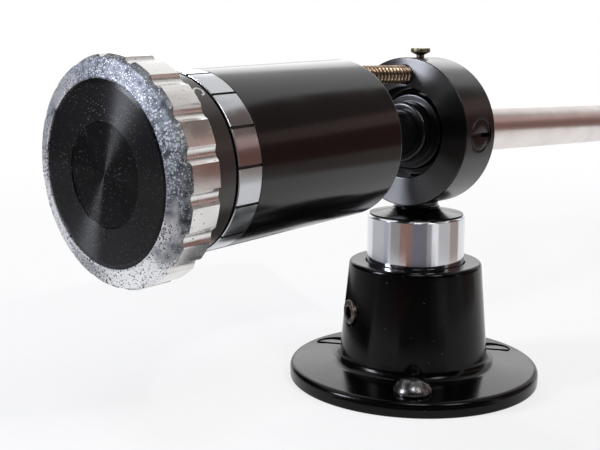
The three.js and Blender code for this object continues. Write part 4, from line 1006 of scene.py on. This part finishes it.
# %% Headshell plate
SHELL_LENGTH = 59
SHELL_HALF = 8.8
NOSE_HALF = 6.4
NOSE_START = 50
NOSE_ROUND = 3
NECK_HALF = 5.9
SHELL_BACK = 0.7
SHELL_LOW = 2.4
SHELL_HIGH = 4.6
BOLT_PLACE = SHELL_LENGTH - 16.5
BOLT_HALF = 6.35
half = [(5, NECK_HALF), (14, SHELL_HALF), (NOSE_START, SHELL_HALF)]
half += arc_points((SHELL_LENGTH - NOSE_ROUND, NOSE_HALF - NOSE_ROUND), NOSE_ROUND, 90, 0, 8)
outline = [(SHELL_BACK, NECK_HALF)] + half
outline += [(x, -y) for x, y in reversed(half)] + [(SHELL_BACK, -NECK_HALF)]
arm_up = (level_arm.to_3x3() @ Vector((0, 0, 1))).normalized()
shell_side = arm_up.cross(shell_axis.normalized()).normalized()
shell_flat = Matrix((shell_axis.normalized(), shell_side, arm_up)).transposed().to_4x4()
shell_flat.translation = shell_frame.translation


def slot_tool(middle, across, length, width):
    """A tool for a slot with round ends, right through the plate."""
    points = arc_points((middle + length / 2 - width / 2, across), width / 2, -90, 90, 12)
    points += arc_points((middle - length / 2 + width / 2, across), width / 2, 90, 270, 12)
    return cutter(plate("slot", points, SHELL_LOW - 2, SHELL_HIGH + 2))


plate_mesh = carve(plate("headshell", outline, SHELL_LOW, SHELL_HIGH), [
    slot_tool(BOLT_PLACE, BOLT_HALF, 12, 2.7), slot_tool(BOLT_PLACE, -BOLT_HALF, 12, 2.7),
    slot_tool(21.5, 0, 9, 6.4),
], 0.22)
add_piece("headshell_plate", plate_mesh, shell_flat, "headshell", shell_black, "headshell")
lathe("headshell_neck", [
    (4.06, SHELL_BACK), (5.9, SHELL_BACK, 0.2), (5.9, 5, 0.3), (3.46, 5, 0.1), (3.46, 3.75), (4.06, 3.75),
], 96, shell_frame, "headshell", shell_black)

# %% Finger lift
LIFT_THICK = 0.8
LIFT_ROUND = 5
LIFT_TURN = 55
LIFT_TIP = 3.5
lift_floor = SHELL_HIGH + 0.05
lift_start = SHELL_HALF - 4.5
lift_centre = (SHELL_HALF + 6.5, lift_floor + LIFT_THICK + LIFT_ROUND)
outer = arc_points(lift_centre, LIFT_ROUND + LIFT_THICK, -90, LIFT_TURN - 90, 12)
inner = arc_points(lift_centre, LIFT_ROUND, LIFT_TURN - 90, -90, 12)
rise = Vector((cos(radians(LIFT_TURN)), sin(radians(LIFT_TURN)))) * LIFT_TIP
tip = [tuple(Vector(outer[-1]) + rise), tuple(Vector(inner[0]) + rise)]
lift_outline = [(lift_start, lift_floor)] + outer + tip + inner + [(lift_start, lift_floor + LIFT_THICK)]
lift_mesh = plate("finger_lift", lift_outline, 40, 45)
lift_mesh.transform(Matrix(((0, 0, 1, 0), (1, 0, 0, 0), (0, 1, 0, 0), (0, 0, 0, 1))))
lift_mesh = carve(lift_mesh, [], 0.15)
add_piece("finger_lift_shown", lift_mesh, shell_flat, "headshell", chrome, "finger_lift")

# %% [markdown]
# ## The weight
# A black cylinder slides on the rear shaft. Its chromed index ring is divided by fifteen filled
# lines, and the dial turns against it. Body and ring are both rounded where they meet, and the
# groove between them shows as a thin dark line.

# %% Weight body and index ring
WEIGHT_BORE = 5.96
HUB_RADIUS = 12.0
low, high = along(rear_frame, "weight_body")
weight_radius = reach(rear_frame, "weight_body")
lathe("weight", [
    (WEIGHT_BORE, low, 0.3), (weight_radius, low, 0.45), (weight_radius, high, 0.1),
    (HUB_RADIUS, high), (HUB_RADIUS, low + 4), (WEIGHT_BORE, low + 4),
], 192, rear_frame, "weight", black_paint, "weight_body", pieces=5)

MARKS = 15
MARK_START = 8
MARK_WIDTH = 0.4
MARK_DEPTH = 0.2
index_low, index_high = along(rear_frame, "index_ring")
mark_half = degrees(MARK_WIDTH / 2 / weight_radius)
mark_steps = (-mark_half - 0.12, -mark_half, 0, mark_half, mark_half + 0.12, 4, 6.5, 9, 12, 15, 17.5, 20)
index_angles = [radians(MARK_START + i * 360 / MARKS + step) for i in range(MARKS) for step in mark_steps]


def from_nearest(angle, start, count):
    """How far an angle is from the nearest of some evenly spaced ones, in degrees."""
    return (degrees(angle) - start + 180 / count) % (360 / count) - 180 / count


def index_grooves(radius, height, angle):
    on_mark = abs(from_nearest(angle, MARK_START, MARKS)) <= mark_half * 1.02
    return radius - MARK_DEPTH if on_mark and radius > weight_radius - 0.5 else radius


index_mesh = turned("index_ring", soften([
    (HUB_RADIUS, index_low), (weight_radius, index_low, 0.12),
    (weight_radius, index_high, 0.18), (HUB_RADIUS, index_high),
]), shape=index_grooves, angles=index_angles, materials=[satin_chrome, line_paint])
for face in index_mesh.polygons:
    x, y = face.center.xy / MM
    on_mark = abs(from_nearest(atan2(y, x), MARK_START, MARKS)) <= mark_half * 1.1
    if on_mark and hypot(x, y) > HUB_RADIUS + 1:
        face.material_index = 1
add_piece("index_ring_shown", index_mesh, rear_frame, "weight", node="index_ring")

# %% [markdown]
# ## The dial
# The knob, the digit ring, the disc and the lead screw turn together. Eighteen round-bottomed
# flutes are milled through the knob's land, each leaving a scalloped run-out on the bevel. The
# digits are engraved and filled with white paint, with their tops to the front. A filled stroke is
# level with the ring, so each digit is a thin ribbon that follows the ring's curve.

# %% Digit ring
digit_low, digit_high = along(rear_frame, "digit_ring")
digit_radius = reach(rear_frame, "digit_ring")
lathe("digit_ring_shown", [
    (12.2, digit_low), (digit_radius, digit_low, 0.25), (digit_radius, digit_high, 0.1), (12.2, digit_high),
], 192, rear_frame, "dial", dial_paint, "digit_ring")

DIGIT_HEIGHT = 2.5
DIGIT_WIDTH = 1.7
DIGIT_MIDDLE = 1.9
DIGIT_LIFT = 0.02
DIGIT_SINK = -0.05
STROKE = 0.3
FIRST_DIGIT = 84.5
DIGIT_SPACING = 120
circle = [(0.5 + 0.5 * sin(2 * pi * k / 24), 0.5 + 0.5 * cos(2 * pi * k / 24)) for k in range(25)]
hook = [(0.5 - 0.46 * cos(radians(a)), 0.74 + 0.26 * sin(radians(a))) for a in range(20, 200, 16)]
digit_lines = [
    circle, [(0.25, 0.72), (0.5, 1), (0.5, 0)], [(0.04, 0.75), *hook, (0.86, 0.5), (0, 0), (1, 0)],
]


def digit_ribbon(points, angle):
    """A stroke for each pair of points, laid round the ring, a hair above its surface."""
    verts, faces = [], []
    foot = digit_low + DIGIT_MIDDLE + DIGIT_HEIGHT / 2
    flat = [Vector(((across - 0.5) * DIGIT_WIDTH, foot - up * DIGIT_HEIGHT)) for across, up in points]
    for start, end in zip(flat, flat[1:]):
        length = (end - start).length
        ahead = (end - start) / length
        wide = Vector((-ahead.y, ahead.x)) * STROKE / 2
        pieces = max(1, round(length / 0.3))
        first = len(verts)
        for k in range(pieces + 1):
            spot = start - ahead * STROKE / 3 + ahead * (length + STROKE / 1.5) * k / pieces
            for corner in (spot - wide, spot + wide):
                turn = angle + corner.x / digit_radius
                for far in (digit_radius + DIGIT_LIFT, digit_radius + DIGIT_SINK):
                    verts.append((far * cos(turn), far * sin(turn), corner.y))
        for a in range(first, first + 4 * pieces, 4):
            faces += [[a + i, a + j, a + 4 + j, a + 4 + i] for i, j in ((0, 2), (2, 3), (3, 1), (1, 0))]
        last = first + 4 * pieces
        faces += [[first, first + 1, first + 3, first + 2], [last, last + 2, last + 3, last + 1]]
    return verts, faces


for number, points in enumerate(digit_lines):
    ribbon = digit_ribbon(points, radians(FIRST_DIGIT + number * DIGIT_SPACING))
    mesh = finish_mesh(build(f"digit_{number}", *ribbon))
    add_piece(f"digit_{number}", mesh, rear_frame, "dial", digit_paint)

# %% Flutes
knob_low = digit_high + 0.05
knob_high = along(rear_frame, "fluted_knob")[1]
knob_radius = reach(rear_frame, "fluted_knob")
FLUTES = 18
FLUTE_START = 2.5
FLUTE_RADIUS = 1.4
FLUTE_DEPTH = 0.65
FLUTE_EDGE = 0.1
FLUTED_FROM = 15.5
flute_centre = knob_radius - FLUTE_DEPTH + FLUTE_RADIUS


def flutes(radius, height, angle):
    """Keeps a point inside the knob's fluted section, with the flute's edges slightly rounded."""
    if radius < FLUTED_FROM:
        return radius
    away = radians(from_nearest(angle, FLUTE_START, FLUTES))
    under = FLUTE_RADIUS ** 2 - (flute_centre * sin(away)) ** 2
    if under <= 0:
        return radius
    floor_radius = flute_centre * cos(away) - sqrt(under)
    h = max(0.0, min(1.0, 0.5 + 0.5 * (floor_radius - radius) / FLUTE_EDGE))
    return floor_radius * (1 - h) + radius * h - FLUTE_EDGE * h * (1 - h)


flute_steps = (-5.4, -4.9, -4.6, -4.3, -4.0, -3.6, -3.0, -2.2, -1.1, 0, 1.1, 2.2,
               3.0, 3.6, 4.0, 4.3, 4.6, 4.9, 5.4, 7, 8.5, 10, 11.5, 13)
knob_angles = [radians(FLUTE_START + i * 360 / FLUTES + step) for i in range(FLUTES) for step in flute_steps]
print("flutes:", FLUTES)

# %% Fluted knob
BEVEL_RADIUS = 16.8
BEVEL_DROP = 0.95
LIP_RADIUS = 14.15
RECESS_RADIUS = 13.88
RECESS_DEPTH = 1.1
THREAD_HOLE = 2.96
JOURNAL = 11.85
JOURNAL_WALL = 1.1
POCKET = 12.14
journal_low = index_high - 1.8
bevel_rows = [
    (BEVEL_RADIUS + (LIP_RADIUS - BEVEL_RADIUS) * k / 6, knob_high - BEVEL_DROP * (1 - k / 6))
    for k in range(1, 6)
]
knob_outline = soften([
    (0, knob_low + 3.05), (THREAD_HOLE, knob_low + 3.05), (THREAD_HOLE, knob_low), (5.6, knob_low),
    (5.6, knob_low + 4.7), (JOURNAL - JOURNAL_WALL, knob_low + 4.7), (JOURNAL - JOURNAL_WALL, journal_low),
    (JOURNAL, journal_low), (JOURNAL, digit_low), (POCKET, digit_low), (POCKET, knob_low),
    (knob_radius, knob_low, 0.35), (knob_radius, knob_high - 2 * BEVEL_DROP, 0.3),
    (BEVEL_RADIUS, knob_high - BEVEL_DROP, 0.25), *bevel_rows, (LIP_RADIUS, knob_high, 0.15),
    (RECESS_RADIUS, knob_high, 0.1), (RECESS_RADIUS, knob_high - RECESS_DEPTH), (0, knob_high - RECESS_DEPTH),
])


def knob_finish(radius, height):
    return 1 if radius > RECESS_RADIUS - 0.1 and height > knob_high - 2.0 else 0


knob_mesh = turned(
    "fluted_knob", knob_outline, shape=flutes, angles=knob_angles, sharp=32,
    materials=[rubbed_chrome, pitted], pick=knob_finish,
)
add_piece("knob", knob_mesh, rear_frame, "dial", node="fluted_knob")

# %% Disc in the knob
DISH_RADIUS = 7.9
DISH_DEPTH = 0.12
disc_low, disc_high = along(rear_frame, "knob_inlay")
disc_radius = RECESS_RADIUS - 0.06
disc_frame = rear_frame @ shift(0, 0, disc_high)
depth = disc_high - disc_low
disc_outline = soften([
    (0, -depth), (disc_radius, -depth), (disc_radius, -0.12, 0.1), (disc_radius - 0.6, 0.0, 0.3),
    (DISH_RADIUS, 0.0, 0.04), (DISH_RADIUS - 0.1, -DISH_DEPTH, 0.04), (0, -DISH_DEPTH),
])


def disc_finish(radius, height):
    return 1 if radius < DISH_RADIUS - 0.02 and height > -0.3 else 0


disc_mesh = turned("disc", disc_outline, 192, materials=[disc_outer, disc_inner], pick=disc_finish)
add_piece("knob_disc", disc_mesh, disc_frame, "dial", node="knob_inlay")

# %% [markdown]
# ## The floor
# The floor lies where the arm board would. Near the object it is a pale matt sheet that takes the
# shadow. Further off it fades into plain white for the camera and for reflections, so no horizon
# shows. The fade is by distance on the floor, and it adds no light to the object.

# %% Floor
FLOOR = 3.0


def seen_or_mirrored(tree):
    """One for a ray that shows a picture, and nought for one that carries light to a matt surface."""
    share = 0.0
    for ray in ("Is Camera Ray", "Is Glossy Ray", "Is Transmission Ray"):
        seen = add_node(tree, "LightPath", {}, ray)
        share = add_node(tree, "Math", {0: share, 1: seen}, operation="MAXIMUM")
    return share


white_floor, tree, shader, place = new_material("white_floor", "#eeeeef", 0.6)
feed(shader, Base_Color=clouds(tree, place, 2, 3, [(0.3, "#ebebec"), (0.7, "#f1f1f2")]))
distance = add_node(tree, "VectorMath", {0: place}, 1, operation="LENGTH")
fade = add_node(
    tree, "MapRange", {"Value": distance, "From Min": 0.06, "From Max": 0.45, "To Min": 0.7, "To Max": 1.0},
    interpolation_type="SMOOTHSTEP",
)
share = add_node(tree, "Math", {0: fade, 1: seen_or_mirrored(tree)}, operation="MULTIPLY")
white = add_node(tree, "Emission", {"Color": (1, 1, 1, 1), "Strength": 1.0})
faded = add_node(tree, "MixShader", {0: share, 1: shader.outputs[0], 2: white})
feed(tree.nodes["Material Output"], Surface=faded)
corners = [(-FLOOR, -FLOOR, 0), (FLOOR, -FLOOR, 0), (FLOOR, FLOOR, 0), (-FLOOR, FLOOR, 0)]
floor_mesh = build("floor", corners, [[0, 1, 2, 3]], unit=1)
floor_mesh.materials.append(white_floor)
put("floor", floor_mesh)
print("floor", 2 * FLOOR, "m across")

# %% [markdown]
# ## The room
# Polished metal and gloss black show the room instead of themselves. The room is white, which is
# what makes the edges of the black pieces bright. Behind the camera stand the things that a real
# room has, as screens on a circle of two metres that only reflections see. Each is given by its
# directions from the object, in degrees: from and to round the object, and from and to above it.
# A flat one lies on the floor instead, from and to a distance in metres. The dark one close round the base
# stands for no thing of the room: it is painted shade.

# %% White room
ROOM_LIGHT = 0.4
world = bpy.data.worlds.new("studio")
bpy.context.scene.world = world
world.use_nodes = True
sky = world.node_tree
backdrop = sky.nodes["Background"]
backdrop.inputs["Color"].default_value = (1, 1, 1, 1)
strength = {"Value": seen_or_mirrored(sky), "To Min": ROOM_LIGHT, "To Max": 1.0}
feed(backdrop, Strength=add_node(sky, "MapRange", strength))
print("the room lights the object at", ROOM_LIGHT, "of what it shows")

# %% Screens
ARM_HEIGHT = 0.045
MAT_HEIGHT = 0.001
SCREEN_PIECES = 12


def screen(name, colour, turn, rise=None, distances=(2, 2)):
    """A glowing sheet that only reflections see: upright between two rises, or flat on the floor."""
    verts, faces = [], []
    for k in range(SCREEN_PIECES + 1):
        angle = radians(turn[0] + (turn[1] - turn[0]) * k / SCREEN_PIECES)
        for end in (0, 1):
            far = distances[end] * (cos(radians(rise[end])) if rise else 1)
            high = ARM_HEIGHT + distances[end] * sin(radians(rise[end])) if rise else MAT_HEIGHT
            verts.append((far * cos(angle), far * sin(angle), high))
        if k:
            faces.append([2 * k - 2, 2 * k, 2 * k + 1, 2 * k - 1])
    material = bpy.data.materials.new(name)
    material.use_nodes = True
    tree = material.node_tree
    tree.nodes.remove(tree.nodes["Principled BSDF"])
    glow = add_node(tree, "Emission", {"Color": colour, "Strength": 1.0})
    feed(tree.nodes["Material Output"], Surface=glow)
    made = put(name, build(name, verts, faces, unit=1))
    made.data.materials.append(material)
    made.visible_camera = False
    made.visible_diffuse = False
    made.visible_shadow = False


walls = {
    "grey_wall": ("#36363b", (75, 146), (-3, 40)), "dark_room": ("#1c1c1e", (146, 290), (-3, 50)),
    "brown_chest": ("#6f4c44", (298, 350), (-3, 14)), "pale_shelf": ("#bca09a", (298, 350), (14, 24)),
    "brown_curtain": ("#6d605b", (298, 350), (24, 46)), "ceiling": ("#a9a5a3", (130, 350), (50, 88)),
}
mats = {
    (0.12, 0.4): {
        "white_mat": ("#c8c8cb", 95, 138), "grey_mat": ("#b6b6c0", 138, 150),
        "pale_mat": ("#c8c8d0", 150, 156), "worn_mat": ("#989694", 156, 179),
        "pink_mat": ("#93736a", 179, 208), "slate_mat": ("#77757d", 208, 241),
        "cloudy_mat": ("#a6a4a6", 241, 252), "silver_mat": ("#c6c4c4", 268, 300),
        "sand_mat": ("#a89a93", 300, 330),
    },
    (0.4, 2.2): {
        "brown_rug": ("#6f4c44", 298, 350), "dark_cloth": ("#2c2c30", 80, 165),
        "dark_rug": ("#242223", 165, 290),
    },
    # A dark sheet close round the base's foot is painted shade: it darkens what reflections see of the floor
    # there.
    (0.028, 0.045): {"painted_shade_round_base": ("#161617", 175, 258)},
    (0.08, 0.12): {"dark_strip": ("#1b1b1d", 195, 262)},
    (0.055, 0.12): {"left_strip": ("#1b1b1d", 60, 150)},
}
for name, wall in walls.items():
    screen(name, *wall)
for distances, group in mats.items():
    for name, (colour, start, end) in group.items():
        screen(name, colour, (start, end), distances=distances)
print("screens:", len(walls) + sum(len(group) for group in mats.values()))

# %% [markdown]
# ## The lamps
# Two soft lamps stand behind the camera. A third stands low at the left, and its reflection makes
# the wedges of light on the faced black. A wide, dim window stands behind the object. Each is set by
# its direction, its size and its radiance, because radiance is what a reflection shows: a lamp of
# radiance 11 is eleven times as bright as the white room. A lamp's power is that times pi and area.

# %% Lamps
def lamp(name, turn, rise, size, radiance, colour, distance=1.0):
    data = bpy.data.lights.new(name, "AREA")
    data.shape = "RECTANGLE"
    data.size, data.size_y = size
    data.energy = radiance * pi * size[0] * size[1]
    data.color = linear(colour)[:3]
    out, up = cos(radians(rise)), sin(radians(rise))
    way = Vector((out * cos(radians(turn)), out * sin(radians(turn)), up))
    light = put(name, data)
    light.matrix_world = (-way).to_track_quat("-Z", "Y").to_matrix().to_4x4()
    light.location = Vector((0, 0, ARM_HEIGHT)) + way * distance
    print(name, round(data.energy, 2), "W")


lamp("lamp_over_camera", 222, 55, (0.25, 0.25), 11, "#f4f7ff")
lamp("lamp_at_right", 262, 45, (0.22, 0.3), 11, "#fffaf4")
lamp("lamp_at_left", 148, 22, (0.22, 0.34), 32, "#eef1ff")
lamp("window_behind", 40, 22, (1.6, 0.7), 1.3, "#ffffff", 2.0)

# %% [markdown]
# ## Last look
# The view shows each colour as it is written, with no change of contrast.

bpy.context.scene.view_settings.view_transform = "Standard"
